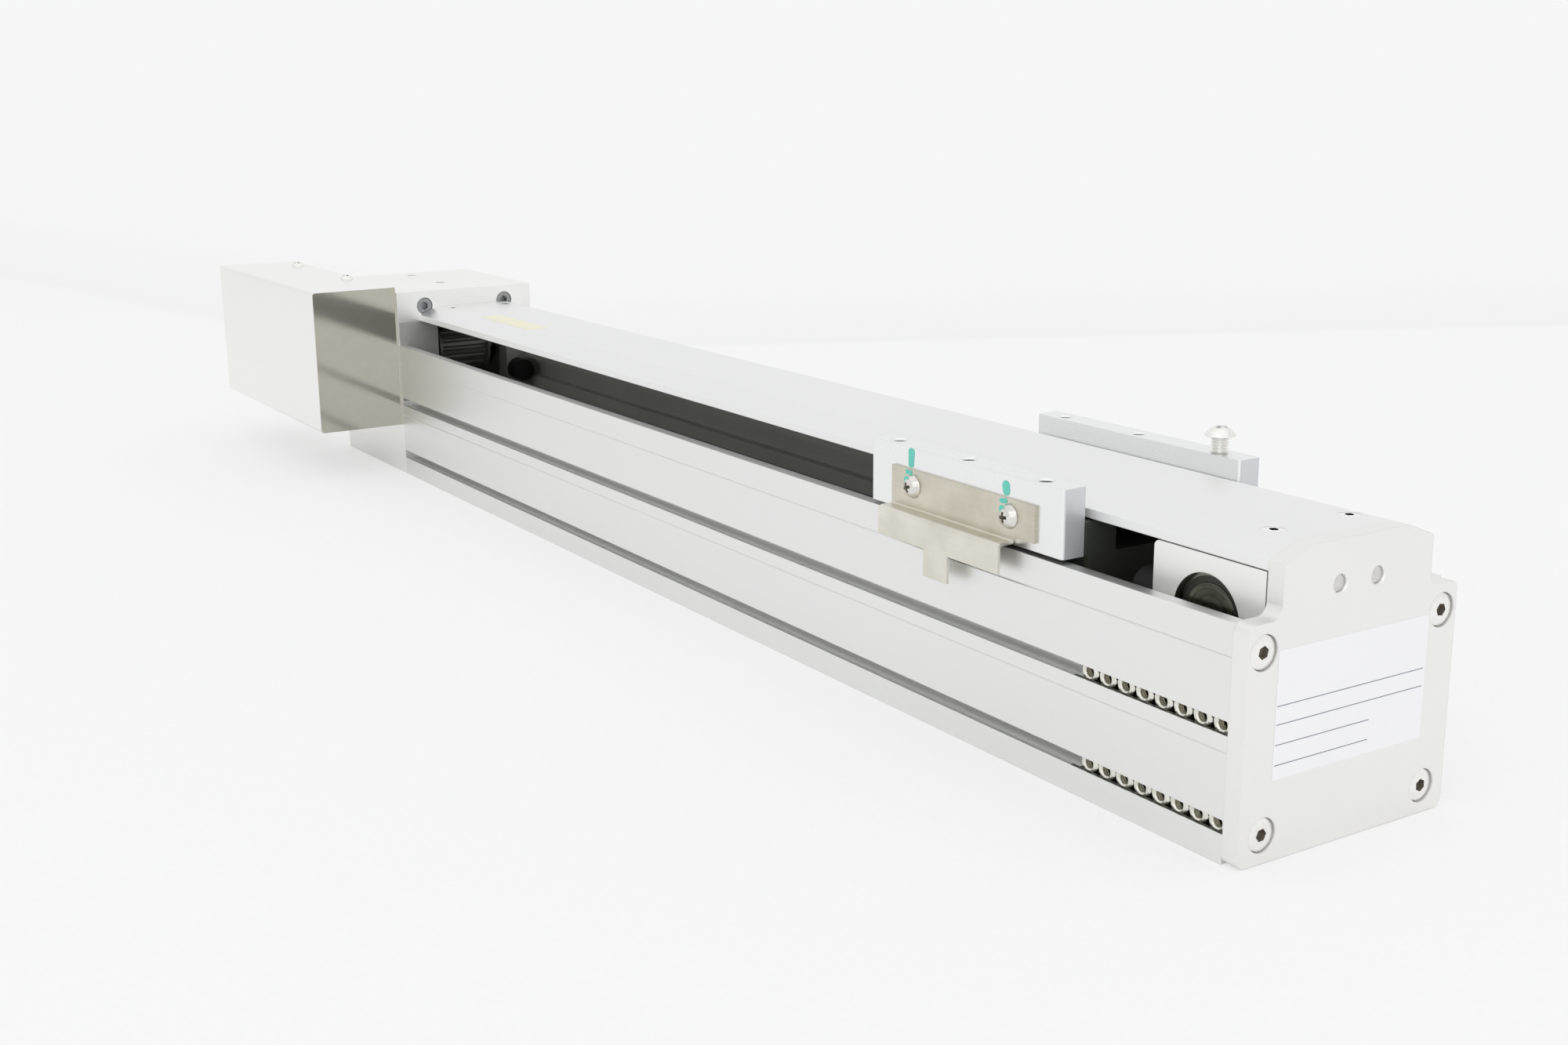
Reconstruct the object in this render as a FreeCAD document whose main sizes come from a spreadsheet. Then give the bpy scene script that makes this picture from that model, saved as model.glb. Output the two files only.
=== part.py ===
import FreeCAD, Part
import math
import os
import Sketcher

# Belt driven linear axis. Millimetres, +X from the drive end to the idler end, +Z up.
# The origin is the centre of the base profile's underside.

os.makedirs("parts", exist_ok=True)
doc = FreeCAD.newDocument("belt_driven_axis")
sheet = doc.addObject("Spreadsheet::Sheet", "Sizes")

SIZES = [
    # Base profile
    ("profile_length", 614.0),
    ("profile_width", 85.0),
    ("profile_height", 70.6),
    ("floor_height", 14.0),
    ("ledge_height", 48.0),
    ("channel_width", 67.0),
    ("mouth_width", 76.0),
    ("boss_width", 63.2),
    ("boss_low", 58.0),
    ("boss_high", 67.0),
    ("boss_slope", 1.6),
    ("port_diameter", 6.1),
    ("upper_port_y", 36.4),
    ("upper_port_z", 62.5),
    ("lower_port_y", 33.3),
    ("lower_port_z", 8.6),
    ("side_slot_low_z", 11.0),
    ("side_slot_high_z", 40.0),
    ("side_slot_mouth", 4.2),
    ("side_slot_lip", 1.6),
    ("side_slot_height", 7.3),
    ("side_slot_depth", 3.6),
    ("base_slot_y", 20.0),
    ("base_slot_mouth", 5.2),
    ("base_slot_lip", 2.0),
    ("base_slot_width", 8.8),
    ("base_slot_depth", 4.6),
    ("score_low_z", 32.8),
    ("score_high_z", 60.6),
    ("score_size", 0.3),
    # Cover and the idler end plate
    ("cover_width", 60.4),
    ("cover_top_width", 38.7),
    ("cover_low_z", 83.3),
    ("cover_shoulder_z", 86.2),
    ("cover_top_z", 90.5),
    ("cover_wall", 3.2),
    ("plate_thickness", 6.0),
    ("ear_height", 70.9),
    ("plate_corner", 3.0),
    ("plate_fillet", 3.6),
    ("seat_length", 20.0),
    ("seat_width", 39.0),
    ("seat_chamfer", 1.8),
    ("cover_screw_inset", 18.3),
    ("cover_screw_y", 15.5),
    ("cover_screw_length", 7.0),
    ("label_width", 61.4),
    ("label_low_z", 24.4),
    ("label_high_z", 62.1),
    ("label_thickness", 0.15),
    ("sticker_length", 57.0),
    ("sticker_width", 10.5),
    ("sticker_end_gap", 57.0),
    # Belt and pulleys
    ("axis_height", 64.4),
    ("pitch_radius", 14.32),
    ("pitch_to_tip", 0.57),
    ("belt_back", 0.97),
    ("belt_gap", 0.1),
    ("belt_width", 25.0),
    ("tooth_depth", 2.06),
    ("tooth_count", 18),
    ("tooth_groove_radius", 1.5),
    ("flange_radius", 16.0),
    ("flange_thickness", 1.5),
    ("flange_gap", 1.0),
    # Idler
    ("idler_inset", 22.4),
    ("idler_block_length", 43.6),
    ("idler_block_gap", 0.4),
    ("idler_block_width", 60.6),
    ("idler_block_top", 82.9),
    ("idler_block_round", 2.0),
    ("idler_window_width", 35.0),
    ("idler_web_height", 30.0),
    ("idler_wall", 4.0),
    ("idler_shaft_diameter", 17.0),
    ("idler_bearing_diameter", 26.0),
    ("idler_bearing_width", 5.0),
    ("idler_bearing_recess", 2.1),
    ("idler_shoulder_diameter", 22.5),
    ("idler_ball", 2.6),
    ("idler_ball_count", 14),
    ("seal_inset", 0.2),
    ("seal_thickness", 0.5),
    ("tension_y", 7.7),
    ("tension_z", 77.5),
    ("tension_diameter", 5.0),
    ("tension_end_depth", 1.0),
    ("tension_hex", 2.5),
    ("tension_chamfer", 0.45),
    ("bumper_diameter", 12.0),
    ("bumper_length", 9.0),
    ("idler_bumper_y", 23.9),
    ("idler_bumper_z", 66.0),
    ("drive_bumper_y", 26.3),
    ("drive_bumper_z", 52.0),
    # Guide rail and guide carriage
    ("rail_width", 15.0),
    ("rail_height", 15.0),
    ("rail_start_gap", 5.0),
    ("rail_end_gap", 3.0),
    ("rail_screw_pitch", 60.0),
    ("rail_screw_count", 9),
    ("rail_counterbore", 5.3),
    ("rail_counterbore_width", 7.5),
    ("rail_hole_width", 4.5),
    ("rail_screw_bite", 6.0),
    ("rail_screw_hex", 3.0),
    ("guide_width", 34.0),
    ("guide_height", 28.0),
    ("guide_clearance_below", 4.3),
    ("guide_gap", 0.3),
    ("guide_body_length", 39.4),
    ("guide_cap_length", 9.5),
    ("guide_seal_length", 1.5),
    ("guide_screw_pitch", 26.0),
    ("guide_screw_length", 8.0),
    ("guide_tap_depth", 6.0),
    # Carriage
    ("carriage_inset", 121.3),
    ("carriage_length", 99.8),
    ("table_width", 61.2),
    ("table_top_width", 64.4),
    ("table_top", 82.6),
    ("tunnel_width", 33.0),
    ("tunnel_low", 47.7),
    ("tunnel_high", 54.4),
    ("belt_channel_width", 40.0),
    ("belt_channel_floor", 72.0),
    ("block_width", 9.3),
    ("block_low", 71.8),
    ("block_high", 93.6),
    ("block_chamfer", 0.8),
    ("payload_pitch", 38.0),
    ("payload_shift", -1.9),
    ("payload_hole", 5.0),
    ("payload_mouth", 6.4),
    ("payload_depth", 18.0),
    ("block_screw_spread", 26.0),
    ("block_screw_z", 77.0),
    ("block_screw_end_gap", 2.9),
    ("block_tap_wall", 2.0),
    ("clamp_length", 56.0),
    ("clamp_width", 38.0),
    ("clamp_thickness", 3.4),
    ("clamp_screw_y", 15.7),
    ("clamp_screw_spread", 40.0),
    ("clamp_screw_bite", 7.0),
    ("clamp_tap_depth", 8.0),
    # Sensor flag
    ("flag_inset", 36.7),
    ("flag_plate_length", 74.5),
    ("flag_flange_length", 64.0),
    ("flag_sheet", 1.0),
    ("flag_low", 72.1),
    ("flag_high", 86.4),
    ("flag_reach", 6.6),
    ("flag_flange_low", 63.2),
    ("flag_tab_start", 25.6),
    ("flag_tab_length", 12.5),
    ("flag_tab_low", 54.0),
    ("flag_screw_start", 12.0),
    ("flag_screw_pitch", 50.4),
    ("flag_screw_z", 80.8),
    ("flag_screw_length", 9.0),
    ("flag_tap_depth", 8.3),
    # Drive end
    ("drive_inset", 26.0),
    ("drive_plate_thickness", 10.0),
    ("drive_length", 90.0),
    ("drive_top", 99.0),
    ("drive_side", 35.5),
    ("drive_opening_width", 40.0),
    ("drive_opening_low", 45.0),
    ("drive_opening_high", 84.0),
    ("drive_opening_depth", 50.0),
    ("drive_shaft_diameter", 12.0),
    ("drive_bearing_diameter", 28.0),
    ("drive_bearing_width", 8.0),
    ("drive_bearing_inner", 20.6),
    ("drive_shoulder_diameter", 22.0),
    ("drive_ball", 4.8),
    ("drive_ball_count", 8),
    ("drive_front_screw_z", 91.0),
    ("drive_front_screw_spread", 46.6),
    ("drive_rear_screw_y", 29.0),
    ("drive_rear_screw_z", 20.0),
    ("drive_rear_sink", 40.0),
    ("drive_rear_bite", 9.0),
    ("drive_front_length", 16.0),
    ("drive_front_tap", 12.0),
    ("drive_top_hole_first", 34.0),
    ("drive_top_hole_pitch", 43.0),
    ("drive_top_hole_depth", 10.0),
    ("circlip_thickness", 1.2),
    ("circlip_groove", 1.4),
    ("circlip_depth", 0.8),
    ("circlip_width", 2.5),
    ("circlip_gap", 8.0),
    ("key_size", 4.0),
    ("key_length", 20.0),
    # Side transmission
    ("box_start", 2.0),
    ("box_length", 169.0),
    ("box_depth", 45.5),
    ("box_height", 75.0),
    ("box_sheet", 1.0),
    ("box_bend", 1.6),
    ("side_plate_thickness", 12.5),
    ("side_screw_front_inset", 5.0),
    ("side_screw_back_inset", 7.0),
    ("side_screw_spread", 58.0),
    ("side_screw_bite", 10.0),
    ("side_tap_depth", 11.0),
    ("side_shaft_hole", 18.0),
    ("centre_distance", 105.0),
    ("side_pitch_radius", 19.1),
    ("side_tooth_count", 24),
    ("side_belt_width", 15.0),
    ("side_flange_radius", 20.8),
    ("side_pulley_offset", 12.0),
    ("side_hub_diameter", 28.0),
    ("side_hub_length", 8.0),
    ("motor_pilot_diameter", 50.0),
    ("motor_hole_pitch", 49.5),
    ("motor_hole_diameter", 4.2),
    ("motor_shaft_diameter", 14.0),
    ("box_screw_y", 6.5),
    ("box_screw_first", 57.0),
    ("box_screw_pitch", 85.0),
    ("box_screw_length", 6.0),
    ("box_tap_depth", 7.0),
    ("box_screw_head_height", 2.2),
    # Fasteners and fits
    ("nut_across", 7.0),
    ("nut_height", 3.2),
    ("nut_barrel", 7.55),
    ("nut_face", 5.5),
    ("nut_chamfer", 0.75),
    ("nut_thread", 3.3),
    ("nut_mouth", 4.4),
    ("nut_mouth_depth", 0.5),
    ("nut_gap", 0.05),
    ("nut_end_gap", 3.9),
    ("nut_pitch_low", 7.65),
    ("nut_pitch_high", 7.8),
    ("nut_count", 8),
    ("thread_gap", 0.05),
    ("fit_gap", 0.02),
    ("seat_gap", 0.3),
    ("head_gap", 0.5),
    ("end_screw_diameter", 6.0),
    ("end_screw_head", 10.0),
    ("end_screw_head_height", 4.0),
    ("end_screw_hex", 4.0),
    ("end_screw_recess", 10.6),
    ("end_screw_length", 16.0),
    ("drive_end_screw_length", 20.0),
    ("drive_rear_hex", 5.0),
    ("small_screw_diameter", 4.0),
    ("small_screw_head", 7.0),
    ("small_screw_low_height", 2.8),
    ("small_screw_hex", 2.5),
    ("mid_screw_diameter", 5.0),
    ("mid_screw_head", 8.5),
    ("mid_screw_head_height", 5.0),
    ("mid_screw_low_height", 3.5),
    ("mid_screw_hex", 4.0),
    ("pan_head", 8.0),
    ("pan_head_height", 3.1),
    ("spare_head", 10.5),
    ("spare_head_height", 3.3),
    ("spare_stand", 5.6),
    ("spare_bite", 12.0),
]


class Size:
    """A number of the spreadsheet, or a sum of them, with the text that binds it."""

    def __init__(self, value, text):
        self.value = float(value)
        self.text = text

    def __float__(self):
        return self.value

    def __add__(self, other):
        return combine(self, "+", other)

    def __radd__(self, other):
        return combine(other, "+", self)

    def __sub__(self, other):
        return combine(self, "-", other)

    def __rsub__(self, other):
        return combine(other, "-", self)

    def __mul__(self, other):
        return combine(self, "*", other)

    def __rmul__(self, other):
        return combine(other, "*", self)

    def __truediv__(self, other):
        return combine(self, "/", other)

    def __neg__(self):
        return Size(-self.value, f"(0 - {self.text})")


def as_size(number):
    """Gives a plain number as a Size."""
    if isinstance(number, Size):
        return number
    return Size(number, repr(float(number)))


def combine(first, sign, second):
    """Joins two sizes by one of the four signs of arithmetic."""
    a = as_size(first)
    b = as_size(second)
    results = {"+": a.value + b.value, "-": a.value - b.value, "*": a.value * b.value}
    value = a.value / b.value if sign == "/" else results[sign]
    return Size(value, f"({a.text} {sign} {b.text})")


class Sizes:
    """The named sizes, read back from the spreadsheet."""

    def __init__(self, rows):
        for row, (alias, number) in enumerate(rows, start=1):
            sheet.set(f"A{row}", alias)
            sheet.set(f"B{row}", str(number))
            sheet.setAlias(f"B{row}", alias)
            setattr(self, alias, Size(number, f"Sizes.{alias}"))


S = Sizes(SIZES)
doc.recompute()

# Helpers: every one binds its sizes to the sheet

Vector = FreeCAD.Vector
TURN = {
    "X": FreeCAD.Rotation(Vector(0, 1, 0), 90),
    "Y": FreeCAD.Rotation(Vector(1, 0, 0), -90),
    "Z": FreeCAD.Rotation(),
}
AXIS = {"X": Vector(1, 0, 0), "Y": Vector(0, 1, 0), "Z": Vector(0, 0, 1)}
FINISHED = {}


def bind(item, name, size):
    """Ties one property to the sheet."""
    item.setExpression(name, as_size(size).text)


def move_to(item, place):
    """Ties an object's place to the sheet."""
    for letter, size in zip("xyz", place):
        bind(item, f"Placement.Base.{letter}", size)


def box(name, low, high):
    """A block between two corners."""
    item = doc.addObject("Part::Box", name)
    for label, a, b in zip(("Length", "Width", "Height"), low, high):
        bind(item, label, as_size(b) - a)
    move_to(item, low)
    return item


def rod(name, axis, start, length, diameter):
    """A round bar along an axis, from its start face."""
    item = doc.addObject("Part::Cylinder", name)
    item.Placement = FreeCAD.Placement(Vector(), TURN[axis])
    bind(item, "Radius", as_size(diameter) / 2)
    bind(item, "Height", length)
    move_to(item, start)
    return item


def cone(name, axis, start, length, first, last):
    """A taper along an axis, between two diameters."""
    item = doc.addObject("Part::Cone", name)
    item.Placement = FreeCAD.Placement(Vector(), TURN[axis])
    bind(item, "Radius1", as_size(first) / 2)
    bind(item, "Radius2", as_size(last) / 2)
    bind(item, "Height", length)
    move_to(item, start)
    return item


def hexagon(name, axis, start, length, across_flats):
    """A hexagonal bar along an axis."""
    item = doc.addObject("Part::Prism", name)
    item.Polygon = 6
    item.Placement = FreeCAD.Placement(Vector(), TURN[axis])
    bind(item, "Circumradius", as_size(across_flats) / 2 / math.cos(math.pi / 6))
    bind(item, "Height", length)
    move_to(item, start)
    return item


def join(name, pieces):
    """One solid from pieces that meet."""
    item = doc.addObject("Part::MultiFuse", name)
    item.Shapes = list(pieces)
    item.Refine = True
    return item


def cut(name, base, tools):
    """A solid less its tools."""
    tool = tools[0] if len(tools) == 1 else join(name + "_tools", tools)
    item = doc.addObject("Part::Cut", name)
    item.Base = base
    item.Tool = tool
    return item


def origin_plane(body, role):
    """One of a body's own origin planes."""
    return [item for item in body.Origin.OriginFeatures if item.Role == role][0]


def add_outline(sketch, points):
    """Adds a closed outline whose corners are bound to the sheet."""
    first = sketch.GeometryCount
    count = len(points)
    corners = [Vector(float(as_size(a)), float(as_size(b)), 0) for a, b in points]
    for index in range(count):
        line = Part.LineSegment(corners[index], corners[(index + 1) % count])
        sketch.addGeometry(line, False)
    for index in range(count):
        following = first + (index + 1) % count
        sketch.addConstraint(Sketcher.Constraint("Coincident", first + index, 2, following, 1))
    for index, (across, up) in enumerate(points):
        for kind, size in (("DistanceX", across), ("DistanceY", up)):
            value = float(as_size(size))
            rule = Sketcher.Constraint(kind, -1, 1, first + index, 1, value)
            number = sketch.addConstraint(rule)
            bind(sketch, f"Constraints[{number}]", size)


def add_circle(sketch, across, up, diameter):
    """Adds a circle whose centre and radius are bound to the sheet."""
    centre = Vector(float(as_size(across)), float(as_size(up)), 0)
    circle = Part.Circle(centre, Vector(0, 0, 1), float(as_size(diameter)) / 2)
    index = sketch.addGeometry(circle, False)
    rules = (
        ("DistanceX", across),
        ("DistanceY", up),
    )
    for kind, size in rules:
        rule = Sketcher.Constraint(kind, -1, 1, index, 3, float(as_size(size)))
        number = sketch.addConstraint(rule)
        bind(sketch, f"Constraints[{number}]", size)
    radius = as_size(diameter) / 2
    number = sketch.addConstraint(Sketcher.Constraint("Radius", index, float(radius)))
    bind(sketch, f"Constraints[{number}]", radius)


def section(name, outlines, circles, length, start):
    """A body with a section across X, drawn out along X from its start."""
    body = doc.addObject("PartDesign::Body", name)
    sketch = body.newObject("Sketcher::SketchObject", name + "_section")
    sketch.AttachmentSupport = [(origin_plane(body, "YZ_Plane"), "")]
    sketch.MapMode = "FlatFace"
    for points in outlines:
        add_outline(sketch, points)
    for across, up, diameter in circles:
        add_circle(sketch, across, up, diameter)
    pad = body.newObject("PartDesign::Pad", name + "_pad")
    pad.Profile = sketch
    bind(pad, "Length", length)
    body.Tip = pad
    bind(body, "Placement.Base.x", start)
    doc.recompute()
    return body


def mirror_halves(body):
    """Mirrors a half section across the middle plane."""
    half = body.Tip
    mirror = body.newObject("PartDesign::Mirrored", body.Name + "_mirror")
    mirror.Originals = [half]
    mirror.MirrorPlane = (origin_plane(body, "XZ_Plane"), "")
    body.Tip = mirror
    doc.recompute()


def edges_along(shape, axis, test):
    """Names the straight edges along an axis whose middle passes a test."""
    names = []
    for number, edge in enumerate(shape.Edges, start=1):
        ends = [vertex.Point for vertex in edge.Vertexes]
        if len(ends) == 2 and (ends[1] - ends[0]).cross(AXIS[axis]).Length < 1e-6:
            if test((ends[0] + ends[1]) / 2):
                names.append(f"Edge{number}")
    return names


def round_edges(body, axis, radius, test):
    """Rounds the chosen edges of a body."""
    base = body.Tip
    names = edges_along(base.Shape, axis, test)
    fillet = body.newObject("PartDesign::Fillet", f"{body.Name}_round_{len(body.Group)}")
    fillet.Base = (base, names)
    bind(fillet, "Radius", radius)
    body.Tip = fillet
    doc.recompute()


def near(point, across, up, reach=0.2):
    """Tells whether a point has a given place across X."""
    return abs(point.y - float(across)) < reach and abs(point.z - float(up)) < reach


def finish(name, item):
    """Names an object as a node of the part."""
    item.Label = name
    FINISHED[name] = item
    return item


def group(name, master, placements):
    """One node that holds equal solids, as copies of a master at several places."""
    doc.recompute()
    copies = []
    for placement in placements:
        copy = master.Shape.copy()
        copy.Placement = placement.multiply(copy.Placement)
        copies.append(copy)
    item = doc.addObject("Part::Feature", name)
    item.Shape = Part.makeCompound(copies)
    return finish(name, item)


def shift(x, y, z):
    """A move without a turn."""
    return FreeCAD.Placement(Vector(float(x), float(y), float(z)), FreeCAD.Rotation())


def turned(x, y, z, axis, degrees):
    """A turn about an axis, then a move."""
    return FreeCAD.Placement(Vector(float(x), float(y), float(z)), FreeCAD.Rotation(AXIS[axis], degrees))


def socket_screw(name, diameter, length, head, head_height, hexagon_size):
    """A socket screw along +Z: its shank runs down from z = 0 and its head stands above."""
    shank = rod(name + "_shank", "Z", (0, 0, -as_size(length)), as_size(length) + 0.5, diameter)
    top = rod(name + "_head", "Z", (0, 0, 0), head_height, head)
    depth = as_size(head_height) * 0.6
    socket = hexagon(name + "_socket", "Z", (0, 0, as_size(head_height) - depth), depth, hexagon_size)
    return cut(name, join(name + "_blank", [shank, top]), [socket])


def domed_screw(name, diameter, length, head, head_height, core, core_length):
    """A screw with a domed head and a cross recess; its shank runs down from z = 0."""
    core_start = -as_size(length)
    lower = rod(name + "_core", "Z", (0, 0, core_start), core_length, core)
    upper_start = core_start + core_length
    upper = rod(name + "_shank", "Z", (0, 0, upper_start), -upper_start + 0.4, diameter)
    # The dome is a ball cut by the plane of the head's rim
    rim = as_size(head) / 2
    ball_radius = (rim * rim + as_size(head_height) * head_height) / (as_size(head_height) * 2)
    ball = doc.addObject("Part::Sphere", name + "_ball")
    bind(ball, "Radius", ball_radius)
    bind(ball, "Placement.Base.z", as_size(head_height) - ball_radius)
    slab = rod(name + "_slab", "Z", (0, 0, 0), head_height, head)
    dome = doc.addObject("Part::Common", name + "_dome")
    dome.Base = ball
    dome.Tool = slab
    arm = as_size(head) * 0.27
    slot = as_size(head) * 0.07
    depth = as_size(head_height) * 0.62
    low = as_size(head_height) - depth
    one = box(name + "_slot_one", (-arm, -slot, low), (arm, slot, head_height))
    two = box(name + "_slot_two", (-slot, -arm, low), (slot, arm, head_height))
    return cut(name, join(name + "_blank", [lower, upper, dome]), [one, two])


def ring(name, axis, start, length, outer, inner):
    """A tube along an axis."""
    return cut(name, rod(name + "_outer", axis, start, length, outer),
               [rod(name + "_inner", axis, start, length, inner)])


# Places that several sub-parts share

half_length = S.profile_length / 2
half_width = S.profile_width / 2
idler_x = half_length - S.idler_inset
drive_x = -half_length - S.drive_inset
motor_x = drive_x - S.centre_distance
plate_face = half_length + S.plate_thickness
carriage_x = half_length - S.carriage_inset
carriage_low = carriage_x - S.carriage_length / 2
carriage_high = carriage_x + S.carriage_length / 2
flag_start = carriage_x - S.flag_inset
belt_inner = S.pitch_radius - S.pitch_to_tip + S.belt_gap
belt_outer = S.pitch_radius + S.belt_back
guide_top = S.floor_height + S.guide_height
block_inner = S.table_top_width / 2
block_outer = block_inner + S.block_width
payload_y = block_inner + S.block_width / 2
idler_face = half_length - S.idler_block_gap
idler_low = idler_face - S.idler_block_length
drive_plate_back = -half_length - S.drive_plate_thickness
drive_back = -half_length - S.drive_length


# Base: profile, cover, end plate

def half_profile_outline():
    """The right half of the profile's section, from the middle of its underside."""
    mouth = S.base_slot_mouth / 2
    chamber = S.base_slot_width / 2
    lip = S.base_slot_lip
    roof = lip + S.base_slot_depth
    y = S.base_slot_y
    points = [(0, 0), (y - mouth, 0), (y - mouth, lip), (y - chamber, lip), (y - chamber, roof)]
    points += [(y + chamber, roof), (y + chamber, lip), (y + mouth, lip), (y + mouth, 0)]
    points += [(half_width, 0)]

    def side_slot(z):
        opening = S.side_slot_mouth / 2
        room = S.side_slot_height / 2
        inner = half_width - S.side_slot_lip
        deep = inner - S.side_slot_depth
        return [(half_width, z - opening), (inner, z - opening), (inner, z - room), (deep, z - room),
                (deep, z + room), (inner, z + room), (inner, z + opening), (half_width, z + opening)]

    def score(z):
        size = S.score_size
        return [(half_width, z - size), (half_width - size, z), (half_width, z + size)]

    points += side_slot(S.side_slot_low_z) + score(S.score_low_z)
    points += side_slot(S.side_slot_high_z) + score(S.score_high_z)
    points += [(half_width, S.profile_height), (S.mouth_width / 2, S.profile_height)]
    points += [(S.mouth_width / 2, S.boss_high + S.boss_slope), (S.boss_width / 2, S.boss_high)]
    points += [(S.boss_width / 2, S.boss_low), (S.mouth_width / 2, S.boss_low - S.boss_slope)]
    points += [(S.mouth_width / 2, S.ledge_height), (S.channel_width / 2, S.ledge_height)]
    points += [(S.channel_width / 2, S.floor_height), (0, S.floor_height)]
    return points


def rail_places():
    """The X places of the rail's screws."""
    count = round(float(S.rail_screw_count))
    middle = float(rail_start + rail_length / 2)
    first = middle - float(S.rail_screw_pitch) * (count - 1) / 2
    return [first + float(S.rail_screw_pitch) * index for index in range(count)]


rail_end = idler_low - S.rail_end_gap
rail_start = -half_length + S.rail_start_gap
rail_length = rail_end - rail_start


def make_profile():
    """The U-shaped extrusion with its slots, score lines, screw ports and rail holes."""
    ports = [(S.upper_port_y, S.upper_port_z, S.port_diameter),
             (S.lower_port_y, S.lower_port_z, S.port_diameter)]
    body = section("profile_body", [half_profile_outline()], ports, S.profile_length, -half_length)
    mirror_halves(body)
    rail_hole_depth = S.floor_height - S.base_slot_lip * 2
    hole = rod("rail_hole", "Z", (0, 0, S.floor_height - rail_hole_depth), rail_hole_depth,
               S.small_screw_diameter + S.thread_gap * 2)
    doc.recompute()
    tools = [hole.Shape.translated(Vector(x, 0, 0)) for x in rail_places()]
    holes = doc.addObject("Part::Feature", "rail_holes")
    holes.Shape = Part.makeCompound(tools)
    finish("base_profile", cut("base_profile", body, [holes]))


def cover_outline(grow=0.0):
    """The cover's outer line, from its left foot over the top to its right foot."""
    half = S.cover_width / 2 + grow
    top = S.cover_top_width / 2
    return [(-half, S.cover_low_z), (half, S.cover_low_z), (half, S.cover_shoulder_z),
            (top, S.cover_top_z), (-top, S.cover_top_z), (-half, S.cover_shoulder_z)]


def cover_screw_places():
    """The places of the cover's four countersunk screws."""
    near_x = plate_face - S.cover_screw_inset
    far_x = -half_length - S.plate_thickness + S.cover_screw_inset
    return [(x, y) for x in (far_x, near_x) for y in (-S.cover_screw_y, S.cover_screw_y)]


def make_cover():
    """The folded-edge cover that spans both ends, with its screws."""
    wall = S.cover_wall
    half = S.cover_width / 2
    top = S.cover_top_width / 2
    inner_half = half - wall
    inner_top = top - wall * 0.42
    underside = S.cover_top_z - wall
    outline = [(-half, S.cover_low_z), (-inner_half, S.cover_low_z),
               (-inner_half, S.cover_shoulder_z - wall * 0.6), (-inner_top, underside),
               (inner_top, underside), (inner_half, S.cover_shoulder_z - wall * 0.6),
               (inner_half, S.cover_low_z), (half, S.cover_low_z), (half, S.cover_shoulder_z),
               (top, S.cover_top_z), (-top, S.cover_top_z), (-half, S.cover_shoulder_z)]
    body = section("cover_body", [outline], [], S.profile_length, -half_length)
    diameter = S.small_screw_diameter
    head = diameter * 1.9
    head_height = diameter * 0.55
    sink = cone("cover_sink", "Z", (0, 0, S.cover_top_z - head_height), head_height + 0.02,
                diameter + S.thread_gap * 2, head + S.thread_gap * 2)
    hole = rod("cover_hole", "Z", (0, 0, underside - 1), wall + 1, diameter + S.thread_gap * 2)
    opening = join("cover_opening", [sink, hole])
    doc.recompute()
    holes = doc.addObject("Part::Feature", "cover_holes")
    shapes = [opening.Shape.translated(Vector(float(x), float(y), 0)) for x, y in cover_screw_places()]
    holes.Shape = Part.makeCompound(shapes)
    finish("top_cover", cut("top_cover", body, [holes]))
    length = S.cover_screw_length
    shank = rod("cover_screw_shank", "Z", (0, 0, S.cover_top_z - length),
                length - head_height * 0.2, diameter)
    taper = cone("cover_screw_taper", "Z", (0, 0, S.cover_top_z - head_height), head_height,
                 diameter, head)
    socket = hexagon("cover_screw_socket", "Z", (0, 0, S.cover_top_z - head_height * 0.7), head_height,
                     S.small_screw_hex)
    screw = cut("cover_screw", join("cover_screw_blank", [shank, taper]), [socket])
    group("cover_screws", screw, [shift(x, y, 0) for x, y in cover_screw_places()])


def cover_seat(name, low_x, high_x, screw_x):
    """The ledge that carries one end of the cover, with its two tapped holes."""
    width = S.seat_width / 2
    low = S.idler_block_top + S.seat_gap
    top = S.cover_top_z - S.cover_wall
    # The chamfers stay clear of the slope inside the cover
    trim = S.seat_chamfer
    outline = [(-width, low), (width, low), (width, top - trim), (width - trim, top),
               (-width + trim, top), (-width, top - trim)]
    ledge = section(name, [outline], [], as_size(high_x) - low_x, low_x)
    tools = [rod(f"{name}_tap_{index}", "Z", (screw_x, y, low), top - low,
                 S.small_screw_diameter + S.thread_gap * 2)
             for index, y in enumerate((-S.cover_screw_y, S.cover_screw_y))]
    return cut(name + "_drilled", ledge, tools)


def end_screw_holes(name, outer_face, inner_face):
    """The four counterbored holes of an end plate, sunk from its outer face."""
    tools = []
    sign = 1 if float(outer_face) > float(inner_face) else -1
    depth = S.end_screw_head_height + 0.3
    for index, (y, z) in enumerate(end_screw_places()):
        start = inner_face if sign > 0 else outer_face
        length = outer_face - inner_face if sign > 0 else inner_face - outer_face
        tools.append(rod(f"{name}_through_{index}", "X", (start, y, z), length,
                         S.end_screw_diameter + S.head_gap))
        sink = outer_face - depth if sign > 0 else outer_face
        tools.append(rod(f"{name}_sink_{index}", "X", (sink, y, z), depth, S.end_screw_recess))
    return tools


def end_screw_places():
    """Where the end plates are screwed to the profile."""
    upper = [(y, S.upper_port_z) for y in (-S.upper_port_y, S.upper_port_y)]
    lower = [(y, S.lower_port_z) for y in (-S.lower_port_y, S.lower_port_y)]
    return upper + lower


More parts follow.
